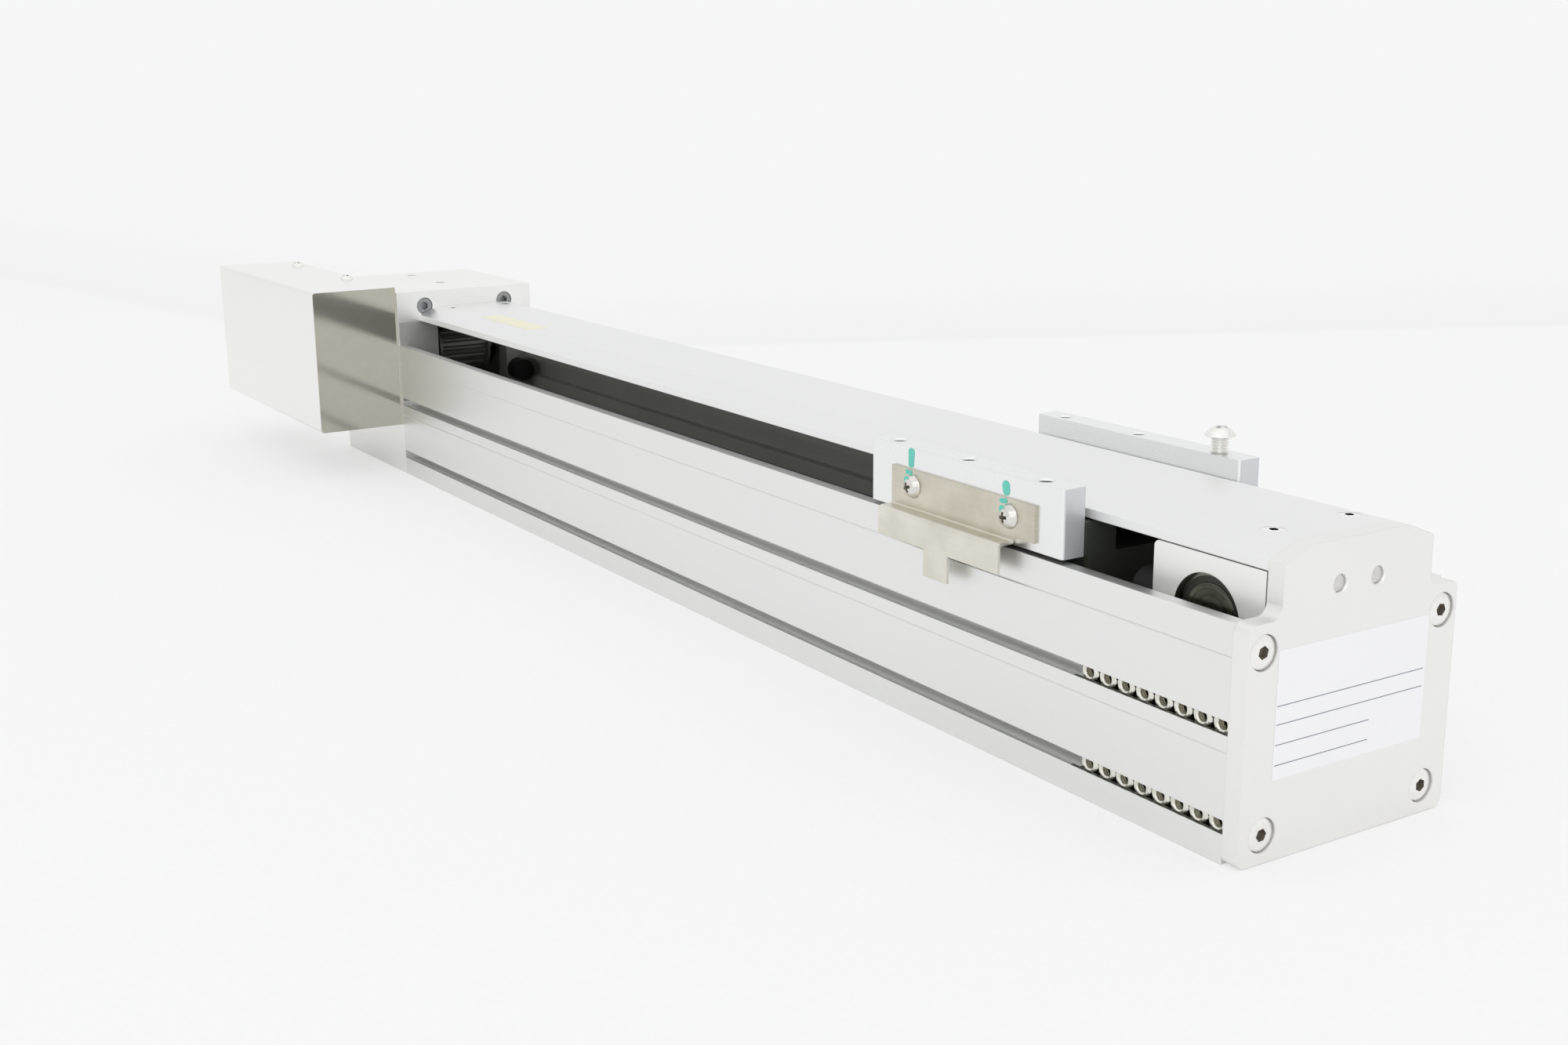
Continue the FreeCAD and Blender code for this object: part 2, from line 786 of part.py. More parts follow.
def make_idler_plate():
    """The end plate with its ears, raised middle, counterbores and tension holes."""
    half = S.cover_width / 2
    top = S.cover_top_width / 2
    outline = [(-half_width, 0), (half_width, 0), (half_width, S.ear_height), (half, S.ear_height),
               (half, S.cover_shoulder_z), (top, S.cover_top_z), (-top, S.cover_top_z),
               (-half, S.cover_shoulder_z), (-half, S.ear_height), (-half_width, S.ear_height)]
    body = section("plate_body", [outline], [], S.plate_thickness, half_length)
    corners = [(y, z) for y in (-half_width, half_width) for z in (0, S.ear_height)]
    round_edges(body, "X", S.plate_corner, lambda p: any(near(p, y, z) for y, z in corners))
    inner = [(-half, S.ear_height), (half, S.ear_height)]
    round_edges(body, "X", S.plate_fillet, lambda p: any(near(p, y, z) for y, z in inner))
    seat = cover_seat("idler_seat", half_length - S.seat_length, half_length,
                      plate_face - S.cover_screw_inset)
    tools = end_screw_holes("idler", plate_face, half_length)
    tap = S.tension_diameter + S.thread_gap * 2
    for index, y in enumerate((-S.tension_y, S.tension_y)):
        tools.append(rod(f"tension_tap_{index}", "X", (half_length, y, S.tension_z),
                         S.plate_thickness, tap))
        tools.append(cone(f"tension_mouth_{index}", "X", (plate_face - S.tension_chamfer, y, S.tension_z),
                          S.tension_chamfer, tap, tap + S.tension_chamfer * 2))
    finish("idler_end_plate", cut("idler_end_plate", join("idler_plate_blank", [body, seat]), tools))
    screw = socket_screw("end_screw", S.end_screw_diameter, S.end_screw_length, S.end_screw_head,
                         S.end_screw_head_height, S.end_screw_hex)
    under_head = plate_face - S.end_screw_head_height - 0.3
    group("idler_end_screws", screw,
          [turned(under_head, y, z, "Y", 90) for y, z in end_screw_places()])


def make_idler_block():
    """The block that carries the idler shaft and slides for the belt's tension."""
    half = S.idler_block_width / 2
    window = S.idler_window_width / 2
    blank = box("idler_blank", (idler_low, -half, S.floor_height), (idler_face, half, S.idler_block_top))
    inner_wall = idler_face - S.idler_wall
    tools = [box("idler_window", (idler_low, -window, S.idler_web_height),
                 (inner_wall, window, S.idler_block_top))]
    round_size = S.idler_block_round
    corner = box("idler_corner", (idler_low, -half, S.idler_block_top - round_size),
                 (idler_low + round_size, half, S.idler_block_top))
    corner_bar = rod("idler_corner_bar", "Y", (idler_low + round_size, -half,
                                               S.idler_block_top - round_size),
                     half * 2, round_size * 2)
    tools.append(cut("idler_corner_cut", corner, [corner_bar]))
    bore_depth = S.idler_bearing_width + S.idler_bearing_recess
    for side, sign in (("left", -1), ("right", 1)):
        start = -half if sign < 0 else half - bore_depth
        tools.append(rod(f"idler_bore_{side}", "Y", (idler_x, start, S.axis_height), bore_depth,
                         S.idler_bearing_diameter))
        shoulder = -half if sign < 0 else window
        tools.append(rod(f"idler_shoulder_{side}", "Y", (idler_x, shoulder, S.axis_height), half - window,
                         S.idler_shoulder_diameter))
        tools.append(rod(f"idler_tension_{side}", "X", (inner_wall, sign * S.tension_y, S.tension_z),
                         S.idler_wall, S.tension_diameter + S.seat_gap * 2))
    finish("idler_block", cut("idler_block", blank, tools))
    length = plate_face - S.tension_end_depth - inner_wall
    screw = socket_screw("tension_screw", S.tension_diameter, length, S.mid_screw_head,
                         S.mid_screw_low_height, S.tension_hex)
    group("belt_tension_screws", screw,
          [turned(inner_wall, y, S.tension_z, "Y", -90) for y in (-S.tension_y, S.tension_y)])
    bumper = rod("idler_bumper", "X", (idler_low - S.bumper_length, 0, 0), S.bumper_length,
                 S.bumper_diameter)
    group("idler_bumpers", bumper,
          [shift(0, y, S.idler_bumper_z) for y in (-S.idler_bumper_y, S.idler_bumper_y)])


def make_bearing(name, starts, axis_x, width, outer, inner, ball, ball_count):
    """Two sealed ball bearings as outer rings, balls, seals and inner rings."""
    step = (as_size(outer) - inner) / 2
    race = step * 0.27
    outer_inside = as_size(outer) - race * 2
    inner_outside = as_size(inner) + race * 2
    fit = S.fit_gap * 2
    place = (axis_x, 0, S.axis_height)
    middle = (axis_x, as_size(width) / 2, S.axis_height)
    pitch = (as_size(outer) + inner) / 2
    track = doc.addObject("Part::Torus", name + "_track")
    track.Placement = FreeCAD.Placement(Vector(), TURN["Y"])
    bind(track, "Radius1", pitch / 2)
    bind(track, "Radius2", as_size(ball) / 2 + S.thread_gap)
    move_to(track, middle)
    outer_tube = ring(name + "_outer_ring", "Y", place, width, as_size(outer) - fit, outer_inside)
    outer_ring = cut(name + "_outer_ring_grooved", outer_tube, [track])
    inner_tube = ring(name + "_inner_ring", "Y", place, width, inner_outside, as_size(inner) + fit)
    inner_ring = cut(name + "_inner_ring_grooved", inner_tube, [track])
    seal = ring(name + "_seal", "Y", place, S.seal_thickness, outer_inside - fit,
                inner_outside + S.seat_gap)
    group(name + "_outer_rings", outer_ring, [shift(0, y, 0) for y in starts])
    group(name + "_inner_rings", inner_ring, [shift(0, y, 0) for y in starts])
    inset = float(S.seal_inset)
    last = float(as_size(width) - S.seal_inset - S.seal_thickness)
    group(name + "_seals", seal, [shift(0, float(y) + at, 0) for y in starts for at in (inset, last)])
    sphere = doc.addObject("Part::Sphere", name + "_ball")
    bind(sphere, "Radius", as_size(ball) / 2)
    move_to(sphere, (axis_x, as_size(width) / 2, S.axis_height + pitch / 2))
    doc.recompute()
    centre = Vector(float(axis_x), 0, float(S.axis_height))
    count = round(float(ball_count))
    wheel = []
    for index in range(count):
        turn = FreeCAD.Placement(Vector(), FreeCAD.Rotation(AXIS["Y"], 360.0 / count * index), centre)
        wheel += [shift(0, y, 0).multiply(turn) for y in starts]
    group(name + "_balls", sphere, wheel)


def toothed_pulley(name, axis_x, start_y, width, teeth, pitch, flange, bore):
    """A toothed belt pulley with two flanges and a bore."""
    tip = (as_size(pitch) - S.pitch_to_tip) * 2
    count = round(float(as_size(teeth)))
    place = (axis_x, start_y, S.axis_height)
    drum = rod(name + "_drum", "Y", place, width, tip)
    groove_z = S.axis_height + tip / 2 - S.tooth_groove_radius * 0.35
    groove = rod(name + "_groove", "Y", (axis_x, start_y, groove_z), width, S.tooth_groove_radius * 2)
    doc.recompute()
    centre = Vector(float(as_size(axis_x)), 0, float(S.axis_height))
    grooves = doc.addObject("Part::Feature", name + "_grooves")
    turned_grooves = []
    for index in range(count):
        copy = groove.Shape.copy()
        copy.rotate(centre, Vector(0, 1, 0), 360.0 / count * (index + 0.5))
        turned_grooves.append(copy)
    grooves.Shape = Part.makeCompound(turned_grooves)
    toothed = cut(name + "_toothed", drum, [grooves])
    thick = S.flange_thickness
    first = rod(name + "_flange_one", "Y", (axis_x, as_size(start_y) - thick, S.axis_height), thick,
                as_size(flange) * 2)
    second = rod(name + "_flange_two", "Y", (axis_x, as_size(start_y) + width, S.axis_height), thick,
                 as_size(flange) * 2)
    blank = join(name + "_blank", [toothed, first, second])
    hole = rod(name + "_bore", "Y", (axis_x, as_size(start_y) - thick, S.axis_height),
               as_size(width) + thick * 2, as_size(bore) + S.fit_gap * 2)
    return cut(name, blank, [hole])


def make_idler():
    """The idler pulley on its shaft between two bearings."""
    half = S.idler_block_width / 2
    recess = S.idler_bearing_recess
    starts = (-half + recess, half - recess - S.idler_bearing_width)
    make_bearing("idler_bearing", starts, idler_x, S.idler_bearing_width, S.idler_bearing_diameter,
                 S.idler_shaft_diameter, S.idler_ball, S.idler_ball_count)
    width = S.belt_width + S.flange_gap * 2
    finish("idler_pulley", toothed_pulley("idler_pulley", idler_x, -width / 2, width, S.tooth_count,
                                          S.pitch_radius, S.flange_radius, S.idler_shaft_diameter))
    reach = half - recess
    shaft = rod("idler_shaft_bar", "Y", (idler_x, -reach, S.axis_height), reach * 2, S.idler_shaft_diameter)
    centres = [rod(f"idler_centre_{index}", "Y", (idler_x, start, S.axis_height), 2.0, 4.0)
               for index, start in enumerate((-reach, reach - 2.0))]
    finish("idler_shaft", cut("idler_shaft", shaft, centres))


def belt_loop(name, first_x, second_x, low_y, width, inner, outer):
    """A flat belt round two equal pulleys."""
    def stadium(label, radius):
        diameter = as_size(radius) * 2
        ends = [rod(f"{label}_end_{index}", "Y", (x, low_y, S.axis_height), width, diameter)
                for index, x in enumerate((first_x, second_x))]
        middle = box(label + "_middle", (first_x, low_y, S.axis_height - radius),
                     (second_x, as_size(low_y) + width, S.axis_height + radius))
        return join(label, ends + [middle])
    return finish(name, cut(name, stadium(name + "_outside", outer), [stadium(name + "_inside", inner)]))


# Guide

def guide_screw_places():
    """The four screws between the table and the guide carriage."""
    pitch = S.guide_screw_pitch / 2
    return [(carriage_x + x, y) for x in (-pitch, pitch) for y in (-pitch, pitch)]


def make_guide():
    """The guide rail with its screws, and the carriage that runs on it."""
    half = S.rail_width / 2
    base = S.floor_height
    top = base + S.rail_height
    waist = half - 1.4
    right = [(half, base), (half, base + 6.0), (waist, base + 7.6), (waist, base + 9.8),
             (half, base + 11.4), (half, top - 0.8), (half - 0.8, top)]
    left = [(-y, z) for y, z in reversed(right)]
    rail = section("rail_body", [right + left], [], rail_length, rail_start)
    screw_hole = rod("rail_through", "Z", (0, 0, base), S.rail_height, S.rail_hole_width)
    sink = S.rail_counterbore
    counterbore = rod("rail_counterbore", "Z", (0, 0, top - sink), sink, S.rail_counterbore_width)
    tool = join("rail_tool", [screw_hole, counterbore])
    doc.recompute()
    tools = doc.addObject("Part::Feature", "rail_tools")
    tools.Shape = Part.makeCompound([tool.Shape.translated(Vector(x, 0, 0)) for x in rail_places()])
    finish("guide_rail", cut("guide_rail", rail, [tools]))
    screw = socket_screw("rail_screw", S.small_screw_diameter,
                         S.rail_height - sink + S.rail_screw_bite, S.small_screw_head,
                         S.small_screw_diameter, S.rail_screw_hex)
    group("rail_screws", screw, [shift(x, 0, top - sink) for x in rail_places()])

    def guide_outline(trim):
        outer = S.guide_width / 2 - trim
        low = base + S.guide_clearance_below + trim
        high = guide_top - trim
        inner = half + S.guide_gap
        roof = top + S.guide_gap
        return [(-outer, low), (-inner, low), (-inner, roof), (inner, roof), (inner, low), (outer, low),
                (outer, high - 3.0), (outer - 2.0, high), (-outer + 2.0, high), (-outer, high - 3.0)]

    start = carriage_x - S.guide_body_length / 2
    block = section("guide_body", [guide_outline(0.0)], [], S.guide_body_length, start)
    tap_depth = S.guide_tap_depth
    taps = [rod(f"guide_tap_{number}", "Z", (x, y, guide_top - tap_depth), tap_depth,
                S.small_screw_diameter + S.thread_gap * 2)
            for number, (x, y) in enumerate(guide_screw_places())]
    finish("guide_carriage", cut("guide_carriage", block, taps))
    cap = section("guide_cap", [guide_outline(0.4)], [], S.guide_cap_length, 0)
    ends = (start - S.guide_cap_length, start + S.guide_body_length)
    group("guide_end_caps", cap, [shift(x, 0, 0) for x in ends])
    wiper = section("guide_seal", [guide_outline(0.9)], [], S.guide_seal_length, 0)
    outer_ends = (ends[0] - S.guide_seal_length, ends[1] + S.guide_cap_length)
    group("guide_end_seals", wiper, [shift(x, 0, 0) for x in outer_ends])
    low_screw = socket_screw("guide_screw", S.small_screw_diameter, S.guide_screw_length,
                             S.small_screw_head, S.small_screw_low_height, S.small_screw_hex)
    seat = S.tunnel_low - S.small_screw_low_height - 0.1
    group("guide_carriage_screws", low_screw, [shift(x, y, seat) for x, y in guide_screw_places()])


# Carriage

def make_table():
    """The table that joins the guide, the belt clamp and the two side blocks."""
    half = S.table_width / 2
    body = box("table_body", (carriage_low, -half, guide_top), (carriage_high, half, S.table_top))
    flange = box("table_flange", (carriage_low, -block_inner, S.block_low),
                 (carriage_high, block_inner, S.table_top))
    blank = join("table_blank", [body, flange])
    tunnel = S.tunnel_width / 2
    channel = S.belt_channel_width / 2
    tools = [box("table_tunnel", (carriage_low, -tunnel, S.tunnel_low),
                 (carriage_high, tunnel, S.tunnel_high)),
             box("table_channel", (carriage_low, -channel, S.belt_channel_floor),
                 (carriage_high, channel, S.table_top))]
    seat = S.tunnel_low - S.small_screw_low_height - 0.1
    recess = S.small_screw_head + S.head_gap
    for number, (x, y) in enumerate(guide_screw_places()):
        tools.append(rod(f"table_hole_{number}", "Z", (x, y, guide_top), seat - guide_top,
                         S.small_screw_diameter + S.head_gap))
        tools.append(rod(f"table_access_{number}", "Z", (x, y, seat), S.belt_channel_floor - seat,
                         recess))
    for number, (x, side) in enumerate(block_screw_places()):
        low = channel if side > 0 else -block_inner
        head_depth = S.mid_screw_head_height + 0.2
        tools.append(rod(f"table_side_{number}", "Y", (x, low, S.block_screw_z), block_inner - channel,
                         S.mid_screw_diameter + S.head_gap))
        sink = channel if side > 0 else -channel - head_depth
        tools.append(rod(f"table_sink_{number}", "Y", (x, sink, S.block_screw_z), head_depth,
                         S.mid_screw_head + S.head_gap))
    for number, (x, y) in enumerate(clamp_screw_places()):
        tools.append(rod(f"table_clamp_{number}", "Z",
                         (x, y, S.belt_channel_floor - S.clamp_tap_depth), S.clamp_tap_depth,
                         S.small_screw_diameter + S.thread_gap * 2))
    finish("carriage_table", cut("carriage_table", blank, tools))


def block_screw_places():
    """The X places of the screws that hold each side block, with the block's side."""
    spread = S.block_screw_spread / 2
    return [(carriage_x + x, side) for side in (-1, 1) for x in (-spread, spread)]


def clamp_screw_places():
    """The four screws of the belt clamp."""
    spread = S.clamp_screw_spread / 2
    return [(carriage_x + x, y) for x in (-spread, spread) for y in (-S.clamp_screw_y, S.clamp_screw_y)]


def payload_places():
    """The X places of the tapped holes on top of each side block."""
    middle = carriage_x + S.payload_shift
    return [middle - S.payload_pitch, middle, middle + S.payload_pitch]


def flag_screw_places():
    """The X places of the horizontal tapped holes for the sensor flag."""
    first = flag_start + S.flag_screw_start
    return [first, first + S.flag_screw_pitch]


def make_side_block(name, side):
    """One of the two blocks that stand beside the cover and carry the load."""
    low_y = block_inner if side > 0 else -block_outer
    body = doc.addObject("PartDesign::Body", name + "_body")
    sketch = body.newObject("Sketcher::SketchObject", name + "_plan")
    sketch.AttachmentSupport = [(origin_plane(body, "XY_Plane"), "")]
    sketch.MapMode = "FlatFace"
    high_y = low_y + S.block_width
    trim = S.block_chamfer
    plan = [(carriage_low + trim, low_y), (carriage_high - trim, low_y), (carriage_high, low_y + trim),
            (carriage_high, high_y - trim), (carriage_high - trim, high_y), (carriage_low + trim, high_y),
            (carriage_low, high_y - trim), (carriage_low, low_y + trim)]
    add_outline(sketch, plan)
    pad = body.newObject("PartDesign::Pad", name + "_pad")
    pad.Profile = sketch
    bind(pad, "Length", S.block_high - S.block_low)
    body.Tip = pad
    bind(body, "Placement.Base.z", S.block_low)
    centre = payload_y * side
    tools = []
    for number, x in enumerate(payload_places()):
        tools.append(rod(f"{name}_tap_{number}", "Z", (x, centre, S.block_high - S.payload_depth),
                         S.payload_depth, S.payload_hole))
        sink = (S.payload_mouth - S.payload_hole) / 2
        tools.append(cone(f"{name}_mouth_{number}", "Z", (x, centre, S.block_high - sink), sink,
                          S.payload_hole, S.payload_mouth))
    for number, x in enumerate(flag_screw_places()):
        start = high_y - S.flag_tap_depth if side > 0 else low_y
        tools.append(rod(f"{name}_flag_tap_{number}", "Y", (x, start, S.flag_screw_z), S.flag_tap_depth,
                         S.small_screw_diameter + S.thread_gap * 2))
    depth = S.block_width - S.block_tap_wall
    for number, (x, where) in enumerate(block_screw_places()):
        if where == side:
            start = low_y if side > 0 else high_y - depth
            tools.append(rod(f"{name}_side_tap_{number}", "Y", (x, start, S.block_screw_z), depth,
                             S.mid_screw_diameter + S.thread_gap * 2))
    finish(name, cut(name, body, tools))


def make_carriage_fasteners():
    """The belt clamp and every screw of the carriage."""
    seat = S.belt_channel_width / 2 + S.mid_screw_head_height + 0.2
    screw = socket_screw("block_screw", S.mid_screw_diameter,
                         block_outer - S.block_screw_end_gap - seat, S.mid_screw_head,
                         S.mid_screw_head_height, S.mid_screw_hex)
    group("side_block_screws", screw,
          [turned(x, seat * side, S.block_screw_z, "X", 90 * side) for x, side in block_screw_places()])
    half = S.clamp_width / 2
    low_x = carriage_x - S.clamp_length / 2
    high_x = carriage_x + S.clamp_length / 2
    lower_top = S.axis_height + belt_inner - S.tooth_depth - S.seat_gap
    upper_low = S.axis_height + belt_outer + S.seat_gap
    top = upper_low + S.clamp_thickness
    holes = [[rod(f"clamp_{label}_{number}", "Z", (x, y, S.belt_channel_floor),
                  top - S.belt_channel_floor, S.small_screw_diameter + S.head_gap)
              for number, (x, y) in enumerate(clamp_screw_places())] for label in ("seat", "plate")]
    seat_blank = box("clamp_seat_blank", (low_x, -half, S.belt_channel_floor), (high_x, half, lower_top))
    finish("belt_clamp_seat", cut("belt_clamp_seat", seat_blank, holes[0]))
    plate_blank = box("clamp_plate_blank", (low_x, -half, upper_low), (high_x, half, top))
    finish("belt_clamp_plate", cut("belt_clamp_plate", plate_blank, holes[1]))
    clamp_screw = socket_screw("clamp_screw", S.small_screw_diameter,
                               top - S.belt_channel_floor + S.clamp_screw_bite,
                               S.small_screw_head, S.small_screw_low_height, S.small_screw_hex)
    group("belt_clamp_screws", clamp_screw, [shift(x, y, top) for x, y in clamp_screw_places()])
    spare = domed_screw("spare", S.end_screw_diameter, S.spare_stand + S.spare_bite, S.spare_head,
                        S.spare_head_height, S.payload_hole - S.thread_gap * 2, S.spare_bite)
    place = shift(payload_places()[2], payload_y, S.block_high + S.spare_stand)
    group("spare_screw", spare, [place])


def make_flag():
    """The bent sensor flag on the left side block, with its two screws."""
    sheet_thickness = S.flag_sheet
    outer = -block_outer
    reach = outer - S.flag_reach
    low = S.flag_low
    outline = [(outer, S.flag_high), (outer - sheet_thickness, S.flag_high),
               (outer - sheet_thickness, low + sheet_thickness), (reach, low + sheet_thickness),
               (reach, S.flag_flange_low), (reach + sheet_thickness, S.flag_flange_low),
               (reach + sheet_thickness, low), (outer, low)]
    body = section("flag_body", [outline], [], S.flag_flange_length, flag_start)
    outer_bends = [(reach, low + sheet_thickness), (outer, low)]
    inner_bends = [(reach + sheet_thickness, low), (outer - sheet_thickness, low + sheet_thickness)]
    round_edges(body, "X", sheet_thickness * 1.6, lambda p: any(near(p, y, z) for y, z in outer_bends))
    round_edges(body, "X", sheet_thickness * 0.6, lambda p: any(near(p, y, z) for y, z in inner_bends))
    plate = box("flag_plate", (flag_start, outer - sheet_thickness, low + 2.4),
                (flag_start + S.flag_plate_length, outer, S.flag_high))
    tab_start = flag_start + S.flag_tab_start
    tab = box("flag_tab", (tab_start, reach, S.flag_tab_low),
              (tab_start + S.flag_tab_length, reach + sheet_thickness, S.flag_flange_low + 0.5))
    holes = [rod(f"flag_hole_{number}", "Y", (x, outer - sheet_thickness, S.flag_screw_z), sheet_thickness,
                 S.small_screw_diameter + S.head_gap) for number, x in enumerate(flag_screw_places())]
    finish("sensor_flag", cut("sensor_flag", join("flag_blank", [body, plate, tab]), holes))
    screw = domed_screw("flag_screw", S.small_screw_diameter, S.flag_screw_length, S.pan_head,
                        S.pan_head_height,
                        S.small_screw_diameter, 2.0)
    group("sensor_flag_screws", screw,
          [turned(x, outer - sheet_thickness, S.flag_screw_z, "X", 90) for x in flag_screw_places()])


# Drive end

def make_drive_end():
    """The drive end plate and the housing behind it."""
    opening = S.drive_opening_width / 2
    raised = box("drive_plate_raised", (drive_plate_back, -half_width, S.ear_height - 5.0),
                 (-half_length, S.drive_side, S.drive_top))
    lower = box("drive_plate_lower", (drive_plate_back, -half_width, 0),
                (-half_length, half_width, S.ear_height))
    seat = cover_seat("drive_seat", -half_length, -half_length + S.seat_length - 4.0,
                      -half_length - S.plate_thickness + S.cover_screw_inset)
    tools = end_screw_holes("drive", drive_plate_back, -half_length)
    tools.append(box("drive_plate_opening", (drive_plate_back, -opening, S.drive_opening_low),
                     (-half_length, opening, S.drive_opening_high)))
    middle = (S.drive_side - half_width) / 2
    spread = S.drive_front_screw_spread / 2
    front_y = [middle - spread, middle + spread]
    head_depth = S.mid_screw_head_height + 0.6
    for index, y in enumerate(front_y):
        tools.append(rod(f"drive_front_hole_{index}", "X", (drive_plate_back, y, S.drive_front_screw_z),
                         S.drive_plate_thickness, S.mid_screw_diameter + S.head_gap))
        tools.append(rod(f"drive_front_sink_{index}", "X",
                         (-half_length - head_depth, y, S.drive_front_screw_z), head_depth,
                         S.mid_screw_head + S.head_gap))
    rear = [(y, S.drive_rear_screw_z) for y in (-S.drive_rear_screw_y, S.drive_rear_screw_y)]
    for index, (y, z) in enumerate(rear):
        tools.append(rod(f"drive_rear_tap_{index}", "X", (drive_plate_back, y, z), S.drive_plate_thickness,
                         S.end_screw_diameter + S.thread_gap * 2))
    finish("drive_end_plate", cut("drive_end_plate", join("drive_plate_blank", [raised, lower, seat]), tools))

    # The housing, with the belt's opening and the two bearing seats
    blank = box("housing_blank", (drive_back, -half_width, 0), (drive_plate_back, S.drive_side, S.drive_top))
    inner_end = -half_length - S.drive_opening_depth
    body_tools = [box("housing_opening", (inner_end, -opening, S.drive_opening_low),
                      (drive_plate_back, opening, S.drive_opening_high))]
    body_tools.append(rod("housing_left_seat", "Y", (drive_x, -half_width, S.axis_height),
                          half_width - S.drive_bearing_inner, S.drive_bearing_diameter))
    body_tools.append(rod("housing_right_seat", "Y", (drive_x, S.drive_bearing_inner, S.axis_height),
                          S.drive_side - S.drive_bearing_inner, S.drive_bearing_diameter))
    body_tools.append(rod("housing_shoulder", "Y", (drive_x, -S.drive_bearing_inner, S.axis_height),
                          S.drive_bearing_inner * 2, S.drive_shoulder_diameter))
    groove_y = S.drive_bearing_inner + S.drive_bearing_width + 0.1
    body_tools.append(rod("housing_ring_groove", "Y", (drive_x, groove_y, S.axis_height),
                          S.circlip_groove, S.drive_bearing_diameter + S.circlip_depth * 2))
    for index, y in enumerate(front_y):
        body_tools.append(rod(f"housing_front_tap_{index}", "X",
                              (drive_plate_back - S.drive_front_tap, y, S.drive_front_screw_z),
                              S.drive_front_tap, S.mid_screw_diameter + S.thread_gap * 2))
    for index, (y, z) in enumerate(rear):
        body_tools.append(rod(f"housing_rear_hole_{index}", "X", (drive_back, y, z),
                              S.drive_length - S.drive_plate_thickness, S.end_screw_diameter + S.head_gap))
        body_tools.append(rod(f"housing_rear_sink_{index}", "X", (drive_back, y, z), S.drive_rear_sink,
                              S.end_screw_recess))
    for index, (x, z) in enumerate(side_plate_screw_places()):
        body_tools.append(rod(f"housing_side_tap_{index}", "Y", (x, -half_width, z), S.side_tap_depth,
                              S.mid_screw_diameter + S.thread_gap * 2))
    first_top_hole = -half_length - S.drive_top_hole_first
    top_marks = (first_top_hole, first_top_hole - S.drive_top_hole_pitch)
    for index, x in enumerate(top_marks):
        body_tools.append(rod(f"housing_top_hole_{index}", "Z",
                              (x, middle, S.drive_top - S.drive_top_hole_depth),
                              S.drive_top_hole_depth, S.payload_hole))
    finish("drive_housing", cut("drive_housing", blank, body_tools))

    screw = socket_screw("drive_end_screw", S.end_screw_diameter, S.drive_end_screw_length,
                         S.end_screw_head, S.end_screw_head_height, S.end_screw_hex)
    under_head = drive_plate_back + S.end_screw_head_height + 0.3
    group("drive_plate_screws", screw,
          [turned(under_head, y, z, "Y", -90) for y, z in end_screw_places()])
    front = socket_screw("drive_front_screw", S.mid_screw_diameter, S.drive_front_length,
                         S.mid_screw_head, S.mid_screw_head_height, S.mid_screw_hex)
    group("drive_housing_front_screws", front,
          [turned(-half_length - head_depth, y, S.drive_front_screw_z, "Y", 90) for y in front_y])
    long_screw = socket_screw("drive_rear_screw", S.end_screw_diameter,
                              S.drive_length - S.drive_plate_thickness - S.drive_rear_sink
                              + S.drive_rear_bite,
                              S.end_screw_head, S.end_screw_diameter, S.drive_rear_hex)
    group("drive_housing_rear_screws", long_screw,
          [turned(drive_back + S.drive_rear_sink, y, z, "Y", -90) for y, z in rear])
    bumper = rod("drive_bumper", "X", (-half_length, 0, 0), S.bumper_length, S.bumper_diameter)
    group("drive_bumpers", bumper,
          [shift(0, y, S.drive_bumper_z) for y in (-S.drive_bumper_y, S.drive_bumper_y)])


def make_drive():
    """The drive shaft with its bearings, pulley, key and retaining ring."""
    inner = S.drive_bearing_inner
    starts = (-inner - S.drive_bearing_width, inner)
    make_bearing("drive_bearing", starts, drive_x, S.drive_bearing_width, S.drive_bearing_diameter,
                 S.drive_shaft_diameter, S.drive_ball, S.drive_ball_count)
    width = S.belt_width + S.flange_gap * 2
    diameter = S.drive_shaft_diameter
    pulley = toothed_pulley("drive_pulley_plain", drive_x, -width / 2, width, S.tooth_count, S.pitch_radius,
                            S.flange_radius, diameter)
    key_half = S.key_size / 2
    key_low = S.axis_height + diameter / 2 - key_half
    slot = box("drive_pulley_keyway", (drive_x - key_half - 0.02, -width / 2 - S.flange_thickness, key_low),
               (drive_x + key_half + 0.02, width / 2 + S.flange_thickness, key_low + S.key_size + 0.05))
    finish("drive_pulley", cut("drive_pulley", pulley, [slot]))
    far = half_width + S.box_depth - 3.0
    near_end = inner + S.drive_bearing_width + 1.0
    shaft = rod("drive_shaft_bar", "Y", (drive_x, -far, S.axis_height), far + near_end, diameter)
    keyway = box("drive_shaft_keyway", (drive_x - key_half, -S.key_length / 2, key_low),
                 (drive_x + key_half, S.key_length / 2, key_low + S.key_size))
    finish("drive_shaft", cut("drive_shaft", shaft, [keyway]))
    key = box("drive_key", (drive_x - key_half, -S.key_length / 2, key_low),
              (drive_x + key_half, S.key_length / 2, key_low + S.key_size))
    finish("drive_shaft_key", key)
    ring_y = inner + S.drive_bearing_width + 0.2
    outer = S.drive_bearing_diameter + S.circlip_depth * 2 - 0.2
    full = ring("circlip_ring", "Y", (drive_x, ring_y, S.axis_height), S.circlip_thickness, outer,
                outer - S.circlip_width * 2)
    half_gap = S.circlip_gap / 2
    gap = box("circlip_gap", (drive_x - half_gap, ring_y, S.axis_height),
              (drive_x + half_gap, ring_y + S.circlip_thickness, S.axis_height + outer))
    finish("drive_bearing_circlip", cut("drive_bearing_circlip", full, [gap]))


# Side transmission

def side_plate_screw_places():
    """The four screws between the side plate and the housing."""
    half = S.side_screw_spread / 2
    return [(x, z)
            for x in (drive_plate_back - S.side_screw_front_inset, drive_back + S.side_screw_back_inset)
            for z in (S.axis_height - half, S.axis_height + half)]


